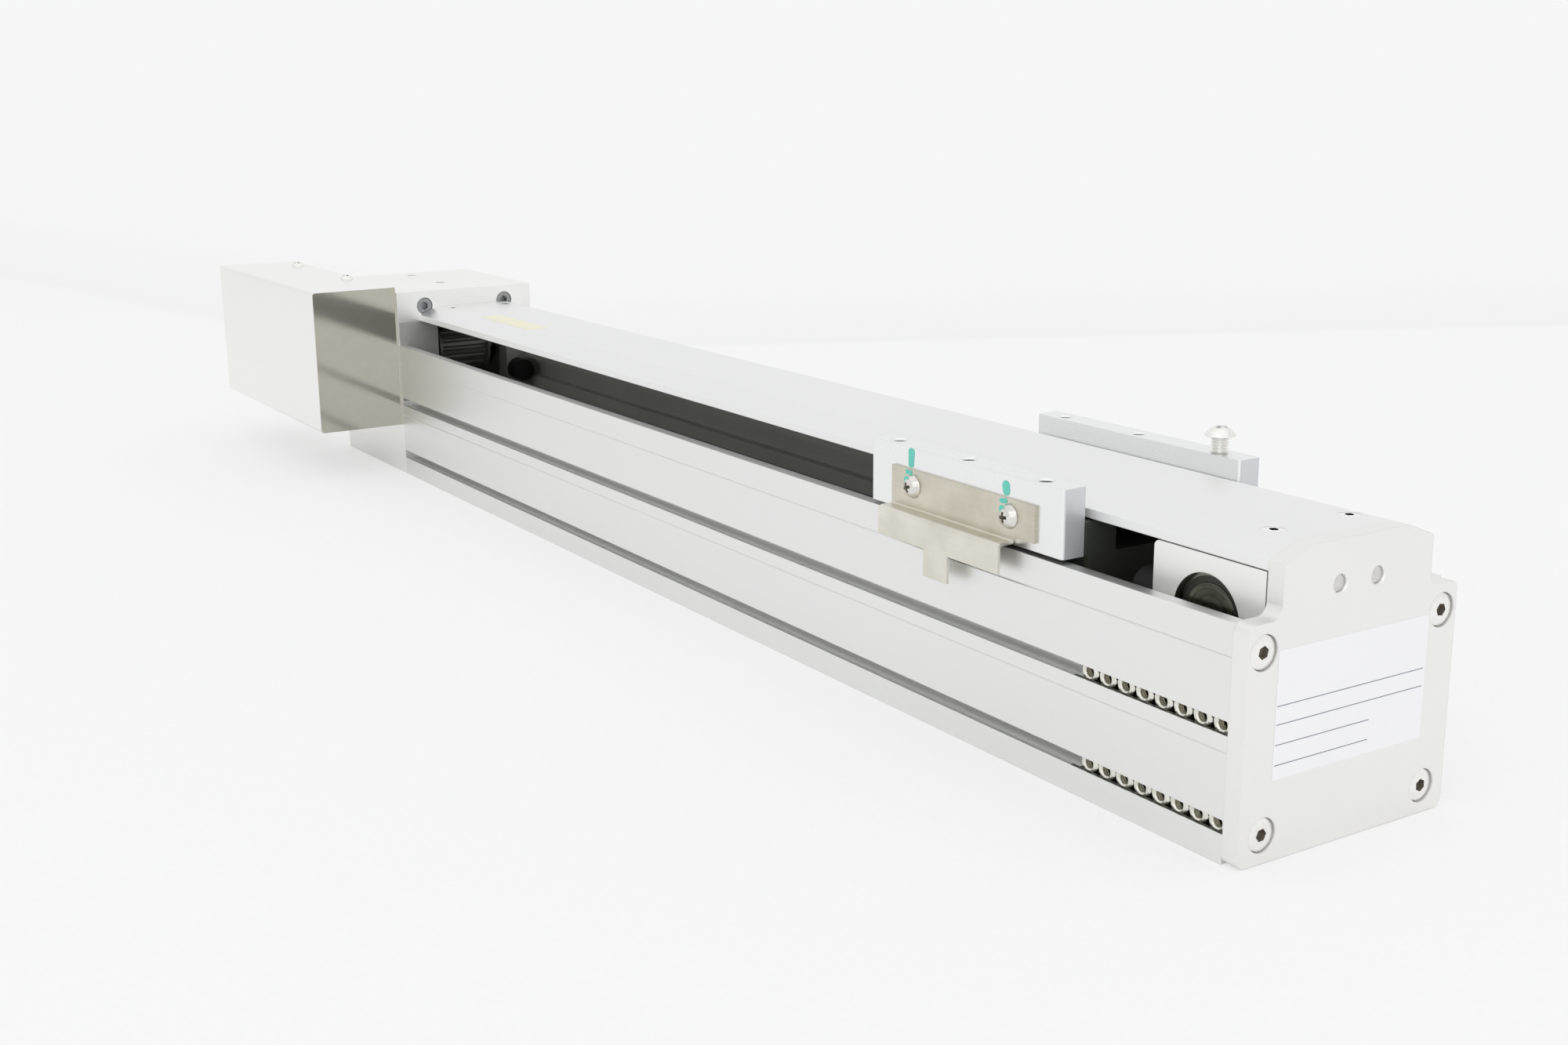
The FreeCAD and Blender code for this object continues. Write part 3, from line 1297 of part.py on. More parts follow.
def box_screw_places():
    """The X places of the screws on the top and the bottom of the transmission cover."""
    first = -half_length - S.box_start - S.box_screw_first
    return [first, first - S.box_screw_pitch]


def make_transmission():
    """The side plate, the two pulleys, their belt and the polished sheet cover."""
    high_x = -half_length - S.box_start
    low_x = high_x - S.box_length
    low_z = S.axis_height - S.box_height / 2
    high_z = low_z + S.box_height
    front_y = -half_width - S.box_depth
    wall = S.box_sheet
    plate_front = -half_width - S.side_plate_thickness
    blank = box("side_plate_blank", (low_x + wall, plate_front, low_z + wall),
                (high_x - wall, -half_width, high_z - wall))
    thickness = S.side_plate_thickness
    tools = [rod("side_plate_shaft_hole", "Y", (drive_x, plate_front, S.axis_height), thickness,
                 S.side_shaft_hole),
             rod("side_plate_pilot", "Y", (motor_x, plate_front, S.axis_height), thickness,
                 S.motor_pilot_diameter)]
    half_pitch = S.motor_hole_pitch / 2
    corners = [(a, b) for a in (-half_pitch, half_pitch) for b in (-half_pitch, half_pitch)]
    for index, (x, z) in enumerate(corners):
        tools.append(rod(f"motor_hole_{index}", "Y", (motor_x + x, plate_front, S.axis_height + z), thickness,
                         S.motor_hole_diameter))
    head_depth = S.mid_screw_head_height + 0.3
    for index, (x, z) in enumerate(side_plate_screw_places()):
        tools.append(rod(f"side_hole_{index}", "Y", (x, plate_front, z), thickness,
                         S.mid_screw_diameter + S.head_gap))
        tools.append(rod(f"side_sink_{index}", "Y", (x, plate_front, z), head_depth,
                         S.mid_screw_head + S.head_gap))
    screw_y = -half_width - S.box_screw_y
    tap = S.small_screw_diameter + S.thread_gap * 2
    for index, x in enumerate(box_screw_places()):
        tools.append(rod(f"side_tap_top_{index}", "Z", (x, screw_y, high_z - wall - S.box_tap_depth),
                         S.box_tap_depth, tap))
        tools.append(rod(f"side_tap_low_{index}", "Z", (x, screw_y, low_z + wall), S.box_tap_depth, tap))
    finish("side_plate", cut("side_plate", blank, tools))
    screw = socket_screw("side_screw", S.mid_screw_diameter, thickness - head_depth + S.side_screw_bite,
                         S.mid_screw_head, S.mid_screw_head_height, S.mid_screw_hex)
    group("side_plate_screws", screw,
          [turned(x, plate_front + head_depth, z, "X", 90) for x, z in side_plate_screw_places()])

    # The cover is a sheet shell that is open towards the axis
    body = doc.addObject("PartDesign::Body", "box_body")
    sketch = body.newObject("Sketcher::SketchObject", "box_plan")
    sketch.AttachmentSupport = [(origin_plane(body, "YZ_Plane"), "")]
    sketch.MapMode = "FlatFace"
    add_outline(sketch, [(front_y, low_z), (-half_width, low_z), (-half_width, high_z), (front_y, high_z)])
    pad = body.newObject("PartDesign::Pad", "box_pad")
    pad.Profile = sketch
    bind(pad, "Length", S.box_length)
    body.Tip = pad
    bind(body, "Placement.Base.x", low_x)
    doc.recompute()
    round_edges(body, "X", S.box_bend, lambda p: abs(p.y - float(front_y)) < 0.1)
    hollow = box("box_hollow", (low_x + wall, front_y + wall, low_z + wall),
                 (high_x - wall, -half_width, high_z - wall))
    clear = S.small_screw_diameter + S.head_gap
    holes = []
    for index, x in enumerate(box_screw_places()):
        holes.append(rod(f"box_hole_top_{index}", "Z", (x, screw_y, high_z - wall), wall, clear))
        holes.append(rod(f"box_hole_low_{index}", "Z", (x, screw_y, low_z), wall, clear))
    finish("transmission_cover", cut("transmission_cover", body, [hollow] + holes))
    pan = domed_screw("box_screw", S.small_screw_diameter, S.box_screw_length, S.pan_head,
                      S.box_screw_head_height, S.small_screw_diameter, 2.0)
    places = [shift(x, screw_y, high_z) for x in box_screw_places()]
    places += [turned(x, screw_y, low_z, "X", 180) for x in box_screw_places()]
    group("transmission_cover_screws", pan, places)

    # Pulleys and belt
    width = S.side_belt_width + S.flange_gap * 2
    start = plate_front - S.side_pulley_offset - width
    hub_start = start + width + S.flange_thickness
    for name, x, bore in (("driven_side_pulley", drive_x, S.drive_shaft_diameter),
                          ("motor_pulley", motor_x, S.motor_shaft_diameter)):
        pulley = toothed_pulley(name + "_wheel", x, start, width, S.side_tooth_count, S.side_pitch_radius,
                                S.side_flange_radius, bore)
        hub = ring(name + "_hub", "Y", (x, hub_start, S.axis_height), S.side_hub_length, S.side_hub_diameter,
                   as_size(bore) + S.fit_gap * 2)
        place = (x, hub_start + S.side_hub_length / 2, S.axis_height)
        tap = rod(name + "_tap", "Z", place, S.side_hub_diameter / 2,
                  S.small_screw_diameter + S.thread_gap * 2)
        finish(name, cut(name, join(name + "_hubbed", [pulley, hub]), [tap]))
        low = S.axis_height + bore / 2 + S.thread_gap
        grub = rod(name + "_grub", "Z", (x, place[1], low), S.side_hub_diameter / 2 - bore / 2 - 0.4,
                   S.small_screw_diameter)
        hub_top = S.axis_height + S.side_hub_diameter / 2
        socket = hexagon(name + "_grub_socket", "Z", (x, place[1], hub_top - 2.4), 2.4, 2.0)
        finish(name + "_set_screw", cut(name + "_set_screw", grub, [socket]))
    inner = S.side_pitch_radius - S.pitch_to_tip + S.belt_gap
    belt_loop("side_belt", motor_x, drive_x, start + S.flange_gap, S.side_belt_width, inner,
              S.side_pitch_radius + S.belt_back)


# Small pieces: nuts, label and sticker

def make_nuts():
    """Rows of hexagonal nuts that wait in the side slots at the idler end."""
    depth = half_width - S.side_slot_lip - S.nut_gap
    back = S.nut_height - depth
    # The corners are turned off, so that the nuts stand in a row without touching
    bar = hexagon("nut_bar", "Y", (0, -depth, 0), S.nut_height, S.nut_across)
    front = cone("nut_front", "Y", (0, -depth, 0), S.nut_chamfer, S.nut_face, S.nut_barrel)
    middle = rod("nut_middle", "Y", (0, S.nut_chamfer - depth, 0), S.nut_height - S.nut_chamfer * 2,
                 S.nut_barrel)
    rear = cone("nut_rear", "Y", (0, back - S.nut_chamfer, 0), S.nut_chamfer, S.nut_barrel, S.nut_face)
    blank = doc.addObject("Part::Common", "nut_blank")
    blank.Base = bar
    blank.Tool = join("nut_turned", [front, middle, rear])
    thread = rod("nut_thread_hole", "Y", (0, -depth, 0), S.nut_height, S.nut_thread)
    mouth = cone("nut_mouth_cut", "Y", (0, -depth, 0), S.nut_mouth_depth, S.nut_mouth, S.nut_thread)
    nut = cut("nut", blank, [thread, mouth])
    first = float(half_length - S.nut_end_gap)
    count = round(float(S.nut_count))
    rows = [(first - float(pitch) * index, z)
            for z, pitch in ((S.side_slot_low_z, S.nut_pitch_low), (S.side_slot_high_z, S.nut_pitch_high))
            for index in range(count)]
    group("slot_nuts_left", nut, [shift(x, 0, z) for x, z in rows])
    group("slot_nuts_right", nut, [turned(x, 0, z, "Z", 180) for x, z in rows])


def make_stickers():
    """The bare label on the end plate and the small sticker on the cover."""
    half = S.label_width / 2
    finish("end_label", box("end_label", (plate_face, -half, S.label_low_z),
                            (plate_face + S.label_thickness, half, S.label_high_z)))
    start = -half_length + S.sticker_end_gap
    edge = -S.cover_top_width / 2 + 1.0
    finish("cover_sticker", box("cover_sticker", (start, edge, S.cover_top_z),
                                (start + S.sticker_length, edge + S.sticker_width,
                                 S.cover_top_z + S.label_thickness)))


make_profile()
make_cover()
make_idler_plate()
make_idler_block()
make_idler()
make_guide()
make_table()
make_side_block("side_block_left", -1)
make_side_block("side_block_right", 1)
make_carriage_fasteners()
make_flag()
make_drive_end()
make_drive()
make_transmission()
belt_loop("main_belt", drive_x, idler_x, -S.belt_width / 2, S.belt_width, belt_inner, belt_outer)
make_nuts()
make_stickers()
doc.recompute()

# Every object is sound before anything is written

for item in doc.Objects:
    if "Invalid" in item.State or "Error" in item.State:
        raise RuntimeError(f"{item.Name} failed: {item.State}")
for name, item in FINISHED.items():
    if item.Shape.isNull() or not item.Shape.isValid() or not item.Shape.Solids:
        raise RuntimeError(f"{name} has no sound shape")
for name, item in FINISHED.items():
    item.Shape.exportStep(f"parts/{name}.step")
    extent = item.Shape.BoundBox
    print(f"{name:28s} solids {len(item.Shape.Solids):3d}  volume {item.Shape.Volume:10.1f}  "
          f"x {extent.XMin:8.2f} {extent.XMax:8.2f}  y {extent.YMin:7.2f} {extent.YMax:7.2f}  "
          f"z {extent.ZMin:7.2f} {extent.ZMax:7.2f}")
print(len(FINISHED), "nodes")
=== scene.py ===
"""Dresses a belt driven linear axis: finishes, small fasteners, label lines, paint, studio and camera."""
import logging
import math
from dataclasses import dataclass, replace
from enum import Enum
from typing import ClassVar, Iterable, Sequence

import bmesh
import bpy
from mathutils import Matrix, Vector


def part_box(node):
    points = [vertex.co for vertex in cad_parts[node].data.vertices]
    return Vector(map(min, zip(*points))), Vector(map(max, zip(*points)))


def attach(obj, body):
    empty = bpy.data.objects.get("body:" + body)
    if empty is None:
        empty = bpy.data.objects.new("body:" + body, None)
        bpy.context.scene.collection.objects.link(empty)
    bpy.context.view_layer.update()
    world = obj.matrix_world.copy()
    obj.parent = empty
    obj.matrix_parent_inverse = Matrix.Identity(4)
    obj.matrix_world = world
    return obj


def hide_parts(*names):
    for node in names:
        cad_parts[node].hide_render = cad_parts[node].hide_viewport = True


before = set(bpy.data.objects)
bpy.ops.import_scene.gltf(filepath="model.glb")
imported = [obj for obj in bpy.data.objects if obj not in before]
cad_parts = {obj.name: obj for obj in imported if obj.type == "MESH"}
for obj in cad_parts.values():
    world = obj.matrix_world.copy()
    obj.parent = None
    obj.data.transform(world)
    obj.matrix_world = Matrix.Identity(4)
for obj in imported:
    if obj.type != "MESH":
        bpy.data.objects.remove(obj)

Colour = tuple[float, float, float]
Place = tuple[float, float, float]
Profile = list[tuple[float, float]]
Mesh = bmesh.types.BMesh
Socket = bpy.types.NodeSocket

LOG = logging.getLogger("linear_axis")
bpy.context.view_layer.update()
FRAME_BODY = "axis_frame"
CARRIAGE = "carriage"
MM = 0.001
# Two places nearer than this, in metres, are the same.
CLOSE = 1e-6
# The material index of sockets, recesses and threads, whose second finish paints their shade.
SHADED = 1
# The radius of the flat ring round a socket, as a share of the hexagon's width.
SOCKET_OPENING = 0.72
# The zones of the profile and the cover end here, just past the profile, in millimetres.
ZONE_END = 307.5


# Finishes


class Surface(Enum):
    """How a surface was made, which sets the pattern of its grain."""

    EXTRUDED = "extruded"
    BLASTED = "blasted"
    TURNED = "turned"
    BRUSHED = "brushed"
    POLISHED = "polished"
    MOULDED = "moulded"
    FILM = "film"


# Waves per metre along X, Y and Z.
GRAIN = {
    Surface.EXTRUDED: (6.0, 1400.0, 1400.0),
    Surface.BLASTED: (2600.0, 2600.0, 2600.0),
    Surface.TURNED: (900.0, 900.0, 900.0),
    Surface.BRUSHED: (40.0, 1800.0, 1800.0),
    Surface.POLISHED: (260.0, 260.0, 260.0),
    Surface.MOULDED: (1800.0, 1800.0, 1800.0),
    Surface.FILM: (700.0, 700.0, 700.0),
}
GRAIN_DETAIL = 3.0
CLOUD_DETAIL = 4.0
# The noise values that give a finish's shade and its main colour.
DARK, PALE = 0.3, 0.7


class Graph:
    """Short ways to add and link the nodes of one material.

    Args:
        tree: The material's node tree.
    """

    def __init__(self, tree: bpy.types.NodeTree) -> None:
        """Keeps the tree."""
        self.tree = tree

    def node(self, kind: str, inputs: dict | None = None, **settings: object) -> bpy.types.Node:
        """Adds one node.

        Args:
            kind: The node's type.
            inputs: A value or another node's output for each named input.
            **settings: The node's own settings.

        Returns:
            The new node.
        """
        made = self.tree.nodes.new(kind)
        for name, value in settings.items():
            setattr(made, name, value)
        for name, value in (inputs or {}).items():
            if isinstance(value, Socket):
                self.tree.links.new(value, made.inputs[name])
            else:
                made.inputs[name].default_value = value
        return made

    def math(self, operation: str, first: object, second: object = 0.0) -> Socket:
        """Works out one number from two."""
        return self.node("ShaderNodeMath", {0: first, 1: second}, operation=operation).outputs[0]

    def vector(self, operation: str, first: object, second: object = (0.0, 0.0, 0.0)) -> bpy.types.Node:
        """Works out one vector from two."""
        return self.node("ShaderNodeVectorMath", {0: first, 1: second}, operation=operation)

    def noise(self, place: Socket, scale: Sequence[float], detail: float) -> Socket:
        """Reads a noise.

        Args:
            place: The Object coordinates.
            scale: Waves per metre along X, Y and Z.
            detail: How many finer layers it has.

        Returns:
            The noise.
        """
        spread = self.node("ShaderNodeMapping", {"Vector": place, "Scale": scale}).outputs["Vector"]
        noise = {"Vector": spread, "Scale": 1.0, "Detail": detail}
        return self.node("ShaderNodeTexNoise", noise).outputs["Fac"]

    def rings(self, place: Socket, centre: Place, waves: float) -> Socket:
        """Reads a noise that changes only with the distance from an axis along Y.

        Args:
            place: The Object coordinates.
            centre: A point of the axis, in millimetres.
            waves: Waves per metre of radius.

        Returns:
            The noise.
        """
        offset = self.vector("SUBTRACT", place, tuple(value * MM for value in centre)).outputs[0]
        flat = self.vector("MULTIPLY", offset, (1.0, 0.0, 1.0)).outputs[0]
        radius = self.vector("LENGTH", flat).outputs["Value"]
        noise = {"W": radius, "Scale": waves, "Detail": GRAIN_DETAIL}
        return self.node("ShaderNodeTexNoise", noise, noise_dimensions="1D").outputs["Fac"]

    def ramp(self, amount: Socket, *stops: tuple[float, Colour]) -> Socket:
        """Turns a number into a colour.

        Args:
            amount: The number.
            *stops: Positions, from low to high, and the linear colour at each.

        Returns:
            The colour.
        """
        made = self.node("ShaderNodeValToRGB", {"Fac": amount})
        colours = made.color_ramp.elements
        for _ in range(len(stops) - 2):
            colours.new(0.5)
        for element, (position, colour) in zip(colours, stops):
            element.position = position
            element.color = (*colour, 1.0)
        return made.outputs["Color"]

    def mixed(self, kind: str, amount: object, first: object, second: object) -> Socket:
        """Mixes two numbers, for the kind FLOAT, or two colours, for the kind RGBA."""
        made = self.node("ShaderNodeMix", {"Factor": amount, "A": first, "B": second}, data_type=kind)
        return made.outputs["Result"]

    def inside(self, place: Socket, low: Place, high: Place) -> Socket:
        """Gives 1 inside a box and 0 outside it.

        Args:
            place: The Object coordinates.
            low: The box's lowest corner, in millimetres.
            high: The box's highest corner, in millimetres.

        Returns:
            The mask.
        """
        centre = tuple((a + b) / 2 * MM for a, b in zip(low, high))
        half = tuple((b - a) / 2 * MM for a, b in zip(low, high))
        offset = self.vector("SUBTRACT", place, centre).outputs[0]
        share = self.vector("ABSOLUTE", self.vector("DIVIDE", offset, half).outputs[0]).outputs[0]
        split = self.node("ShaderNodeSeparateXYZ", {"Vector": share})
        widest = self.math("MAXIMUM", split.outputs["X"], split.outputs["Y"])
        return self.math("LESS_THAN", self.math("MAXIMUM", widest, split.outputs["Z"]), 1.0)


@dataclass(frozen=True)
class Zone:
    """A box of a piece's own space whose faces have another finish.

    Args:
        low: The box's lowest corner, in millimetres.
        high: The box's highest corner, in millimetres.
        colour: The main linear colour there.
        shade: The second linear colour there.
        metallic: How metallic it is there.
        roughness: The roughness there.
    """

    low: Place
    high: Place
    colour: Colour
    shade: Colour
    metallic: float
    roughness: float


@dataclass(frozen=True)
class Finish:
    """A procedural finish that reads Object coordinates.

    Args:
        name: The material's name.
        surface: The kind of surface, which gives the grain.
        colour: The main linear colour.
        shade: The second linear colour, which the grain and the clouds mix in.
        metallic: 1 for bare metal, 0 for paint, plastic and rubber.
        roughness: The lowest and the highest roughness.
        relief: The grain's height in metres.
        edge: The radius in metres by which sharp edges look broken, or 0.
        cloud: The scale of the large soft variation, in waves per metre.
        coat: The weight of a clear layer.
        soft: The share of the large variation against the grain.
        lathe: A point of the axis that the grain's rings go round, in millimetres, or None.
        zones: The boxes with another finish.
    """

    name: str
    surface: Surface
    colour: Colour
    shade: Colour
    metallic: float
    roughness: tuple[float, float]
    relief: float = 2e-6
    edge: float = 0.0
    cloud: float = 14.0
    coat: float = 0.0
    soft: float = 0.6
    lathe: Place | None = None
    zones: tuple[Zone, ...] = ()

    def build(self) -> bpy.types.Material:
        """Makes the node material.

        Returns:
            The new material.
        """
        material = bpy.data.materials.new(self.name)
        material.use_nodes = True
        shader = material.node_tree.nodes["Principled BSDF"]
        shader.inputs["Metallic"].default_value = self.metallic
        shader.inputs["Coat Weight"].default_value = self.coat
        graph = Graph(material.node_tree)
        place = graph.node("ShaderNodeTexCoord").outputs["Object"]
        if self.lathe:
            grain = graph.rings(place, self.lathe, GRAIN[self.surface][0])
        else:
            grain = graph.noise(place, GRAIN[self.surface], GRAIN_DETAIL)
        cloud = graph.noise(place, (self.cloud,) * 3, CLOUD_DETAIL)
        blend = graph.mixed("FLOAT", self.soft, grain, cloud)
        colour = graph.ramp(blend, (DARK, self.shade), (PALE, self.colour))
        gloss = graph.node("ShaderNodeMapRange", {"Value": blend, "From Min": DARK, "From Max": PALE,
                                                  "To Min": self.roughness[0], "To Max": self.roughness[1]})
        rough = gloss.outputs["Result"]
        metal: object = self.metallic
        for zone in self.zones:
            mask = graph.inside(place, zone.low, zone.high)
            there = graph.ramp(blend, (DARK, zone.shade), (PALE, zone.colour))
            colour = graph.mixed("RGBA", mask, colour, there)
            rough = graph.mixed("FLOAT", mask, rough, zone.roughness)
            metal = graph.mixed("FLOAT", mask, metal, zone.metallic)
        links = material.node_tree.links
        links.new(colour, shader.inputs["Base Color"])
        links.new(rough, shader.inputs["Roughness"])
        if self.zones:
            links.new(metal, shader.inputs["Metallic"])
        relief = {"Distance": self.relief, "Strength": 1.0, "Height": grain}
        if self.edge:
            soft = graph.node("ShaderNodeBevel", {"Radius": self.edge}, samples=4)
            relief["Normal"] = soft.outputs["Normal"]
        bump = graph.node("ShaderNodeBump", relief)
        links.new(bump.outputs["Normal"], shader.inputs["Normal"])
        return material


class Palette:
    """The finishes of this axis, each built once."""

    # Painted shade: the profile's hollow, where little light enters, is painted a darker, non-metallic grey.
    PAINTED_HOLLOW_SHADE = (0.62, 0.63, 0.58)
    PAINTED_HOLLOW_SHADE_DARK = (0.50, 0.51, 0.47)
    CHANNEL = (Zone((-ZONE_END, -34.0, 13.0), (ZONE_END, 34.0, 48.0), PAINTED_HOLLOW_SHADE, PAINTED_HOLLOW_SHADE_DARK, 0.0, 0.6),
               Zone((-ZONE_END, -38.05, 47.5), (ZONE_END, 38.05, 69.5), PAINTED_HOLLOW_SHADE, PAINTED_HOLLOW_SHADE_DARK, 0.0, 0.6))
    # Painted shade: the side slots between the nuts and the idler end, where the nuts keep the light out, are
    # painted nearly black.
    PAINTED_NUT_SHADE = tuple(Zone((243.0, side - 3.6, level - 4.4), (ZONE_END, side + 3.6, level + 4.4),
                             (0.10, 0.105, 0.085), (0.07, 0.075, 0.06), 0.3, 0.5)
                        for side in (-38.65, 38.65) for level in (11.0, 40.0))

    PROFILE = Finish("anodised_extrusion", Surface.EXTRUDED, (0.82, 0.825, 0.815), (0.795, 0.80, 0.79), 1.0,
                     (0.34, 0.42), 3e-7, 0.25 * MM, 9.0, zones=CHANNEL + PAINTED_NUT_SHADE)
    PLATE = Finish("blasted_plate", Surface.BLASTED, (0.915, 0.914, 0.90), (0.885, 0.884, 0.87), 1.0,
                   (0.38, 0.46), 1e-6, 0.35 * MM, 18.0)
    # Painted light: the counterbores are painted a paler, less metallic grey, so that their shade round the
    # screw heads looks lighter.
    COUNTERBORES = tuple(Zone((290.0, y - 5.7, z - 5.7), (312.7, y + 5.7, z + 5.7),
                              (0.80, 0.795, 0.77), (0.74, 0.735, 0.71), 0.2, 0.5)
                         for y, z in ((-36.4, 62.5), (36.4, 62.5), (-33.3, 8.6), (33.3, 8.6)))
    END_PLATE = replace(PLATE, name="counterbored_plate", colour=(0.87, 0.866, 0.85),
                        shade=(0.835, 0.831, 0.815), zones=COUNTERBORES)
    # Painted light: the cover's narrow side edges are painted paler and less metallic than the cover, against
    # the dark gap that they reflect.
    COVER_EDGES = tuple(Zone((-ZONE_END, low, 83.0), (ZONE_END, high, 88.0),
                             (0.90, 0.905, 0.90), (0.87, 0.875, 0.87), 0.45, 0.42)
                        for low, high in ((-30.6, -29.9), (29.9, 30.6)))
    COVER = Finish("satin_cover", Surface.BLASTED, (0.86, 0.865, 0.86), (0.835, 0.84, 0.837), 1.0,
                   (0.36, 0.44), 6e-7, 0.35 * MM, 7.0, zones=COVER_EDGES)
    BLOCK = Finish("glossy_anodised_block", Surface.BLASTED, (0.85, 0.855, 0.855), (0.83, 0.835, 0.835), 1.0,
                   (0.24, 0.30), 2e-7, 0.3 * MM, 24.0, soft=0.8)
    # Painted reflection: the blocks' +X end faces are painted a darker bluish grey, for the dark gap that
    # they mirror.
    LOAD_BLOCK = replace(BLOCK, name="load_block", zones=(
        Zone((235.3, -42.0, 71.0), (236.0, 42.0, 94.0), (0.74, 0.75, 0.77), (0.66, 0.67, 0.70), 0.4, 0.35),))
    # Painted shade: the bore through the idler block is painted a dark olive grey.
    IDLER_BLOCK = replace(BLOCK, name="bored_block", colour=(0.93, 0.93, 0.92), shade=(0.90, 0.90, 0.89),
                          metallic=0.8, roughness=(0.44, 0.52), zones=(
                              Zone((270.0, -30.2, 50.0), (299.2, 30.2, 79.0), (0.10, 0.105, 0.075),
                                   (0.06, 0.064, 0.045), 0.6, 0.35),))
    # Painted shade: the drive end plate's face inside the hollow, under the cover, is painted darker.
    DRIVE_PLATE = replace(PLATE, name="shaded_plate", zones=(
        Zone((-318.0, -42.0, 40.0), (-290.0, 42.0, 83.0), (0.48, 0.485, 0.465), (0.38, 0.385, 0.37),
             0.4, 0.5),))
    # Painted shade: the carriage's table and belt clamp, deep in the hollow, are painted nearly black.
    TABLE = Finish("shaded_carriage_table", Surface.BLASTED, (0.15, 0.16, 0.14), (0.10, 0.105, 0.09), 0.7,
                   (0.42, 0.55), 1e-6, 0.2 * MM, 25.0)
    INNER = Finish("machined_inner_parts", Surface.BLASTED, (0.30, 0.31, 0.29), (0.22, 0.23, 0.21), 0.8,
                   (0.42, 0.55), 2e-6, 0.2 * MM, 25.0)
    STEEL = Finish("ground_steel", Surface.TURNED, (0.46, 0.46, 0.45), (0.36, 0.36, 0.35), 1.0,
                   (0.20, 0.34), 1e-6, 0.1 * MM, 60.0)
    # Painted shade: the idler bearing's rings and the shaft's end, deep in the bore, are painted darker than
    # bare steel; the shaft's rings are turning scratches.
    BEARING = Finish("bearing_rings_painted_shade", Surface.TURNED, (0.30, 0.30, 0.26), (0.14, 0.145, 0.115), 1.0,
                     (0.18, 0.28), 1e-6, 0.15 * MM, 60.0, lathe=(284.6, 0.0, 64.4))
    SHAFT = Finish("scratched_shaft_end", Surface.TURNED, (0.20, 0.202, 0.17), (0.06, 0.061, 0.048), 0.9,
                   (0.16, 0.30), 2e-6, 0.3 * MM, 420.0, soft=0.35, lathe=(284.6, 0.0, 64.4))
    ZINC = Finish("zinc_plated_screws", Surface.TURNED, (0.90, 0.895, 0.875), (0.80, 0.795, 0.77), 1.0,
                  (0.16, 0.28), 5e-7, 0.12 * MM, 150.0)
    HEAD = Finish("polished_screw_heads", Surface.TURNED, (0.80, 0.785, 0.75), (0.62, 0.605, 0.57), 1.0,
                  (0.10, 0.18), 3e-7, 0.15 * MM, 190.0)
    TENSION = Finish("tension_screw_ends", Surface.TURNED, (0.74, 0.735, 0.715), (0.56, 0.555, 0.535), 1.0,
                     (0.20, 0.34), 1e-6, 0.15 * MM, 260.0)
    # Painted shade: sockets and cross recesses are painted a dark brownish grey.
    SOCKET = Finish("shaded_sockets", Surface.TURNED, (0.36, 0.325, 0.27), (0.20, 0.175, 0.145), 0.5,
                    (0.4, 0.55), 1e-6, 0.0, 250.0)
    # Painted shade: the nuts' thread holes are painted a dark brownish grey.
    THREAD = Finish("threads_painted_shade", Surface.TURNED, (0.36, 0.34, 0.245), (0.17, 0.16, 0.11), 0.8,
                    (0.25, 0.4), 1e-6, 0.0, 250.0)
    COVER_SCREW = Finish("pale_cover_screws", Surface.TURNED, (0.93, 0.93, 0.92), (0.86, 0.86, 0.85), 1.0,
                         (0.18, 0.26), 5e-7, 0.1 * MM, 150.0)
    NUT = Finish("bright_nuts", Surface.TURNED, (0.82, 0.81, 0.75), (0.68, 0.67, 0.60), 1.0,
                 (0.18, 0.30), 1e-6, 0.1 * MM, 150.0)
    BLACK_OXIDE = Finish("black_oxide_screws", Surface.TURNED, (0.05, 0.05, 0.052), (0.03, 0.03, 0.032), 0.7,
                         (0.32, 0.46), 2e-6, 0.1 * MM, 90.0)
    DULL_STEEL = Finish("dull_steel_screws", Surface.TURNED, (0.36, 0.365, 0.37), (0.26, 0.265, 0.27), 0.9,
                        (0.34, 0.46), 2e-6, 0.1 * MM, 90.0)
    FLAG = Finish("brushed_stainless_flag", Surface.BRUSHED, (0.70, 0.665, 0.57), (0.52, 0.49, 0.405), 1.0,
                  (0.24, 0.36), 4e-7, 0.15 * MM, 60.0, soft=0.86, zones=(
                      Zone((140.0, -49.0, 50.0), (230.0, -42.6, 75.0), (0.79, 0.765, 0.69),
                           (0.63, 0.605, 0.53), 0.9, 0.3),))
    # Painted reflection: the box's +X face is painted a darker grey than its other faces, for the darker
    # scene that it mirrors.
    MIRROR = Finish("polished_stainless", Surface.POLISHED, (0.86, 0.857, 0.84), (0.825, 0.822, 0.805), 0.85,
                    (0.10, 0.16), 1e-7, 0.0, 10.0, zones=(
                        Zone((-309.6, -90.0, 20.0), (-308.0, -42.0, 104.0), (0.54, 0.53, 0.462),
                             (0.485, 0.475, 0.412), 0.72, 0.10),))
    BELT = Finish("black_belt", Surface.MOULDED, (0.045, 0.046, 0.045), (0.03, 0.031, 0.03), 0.0,
                  (0.50, 0.70), 1.2e-5, 0.0, 60.0)
    RUBBER = Finish("black_bumper", Surface.MOULDED, (0.012, 0.012, 0.012), (0.007, 0.007, 0.007), 0.0,
                    (0.75, 0.9), 1e-5, 0.4 * MM, 80.0)
    SEAL = Finish("seal_rubber", Surface.MOULDED, (0.035, 0.037, 0.026), (0.02, 0.022, 0.015), 0.0,
                  (0.26, 0.42), 5e-6, 0.1 * MM, 90.0)
    GUIDE_PLASTIC = Finish("green_guide_cap", Surface.MOULDED, (0.02, 0.075, 0.045),
                           (0.015, 0.055, 0.034), 0.0, (0.35, 0.5), 6e-6, 0.4 * MM, 70.0)
    LABEL = Finish("bare_label_film", Surface.FILM, (0.95, 0.95, 0.975), (0.93, 0.93, 0.96), 0.0,
                   (0.30, 0.40), 1e-6, 0.0, 30.0, coat=0.15)
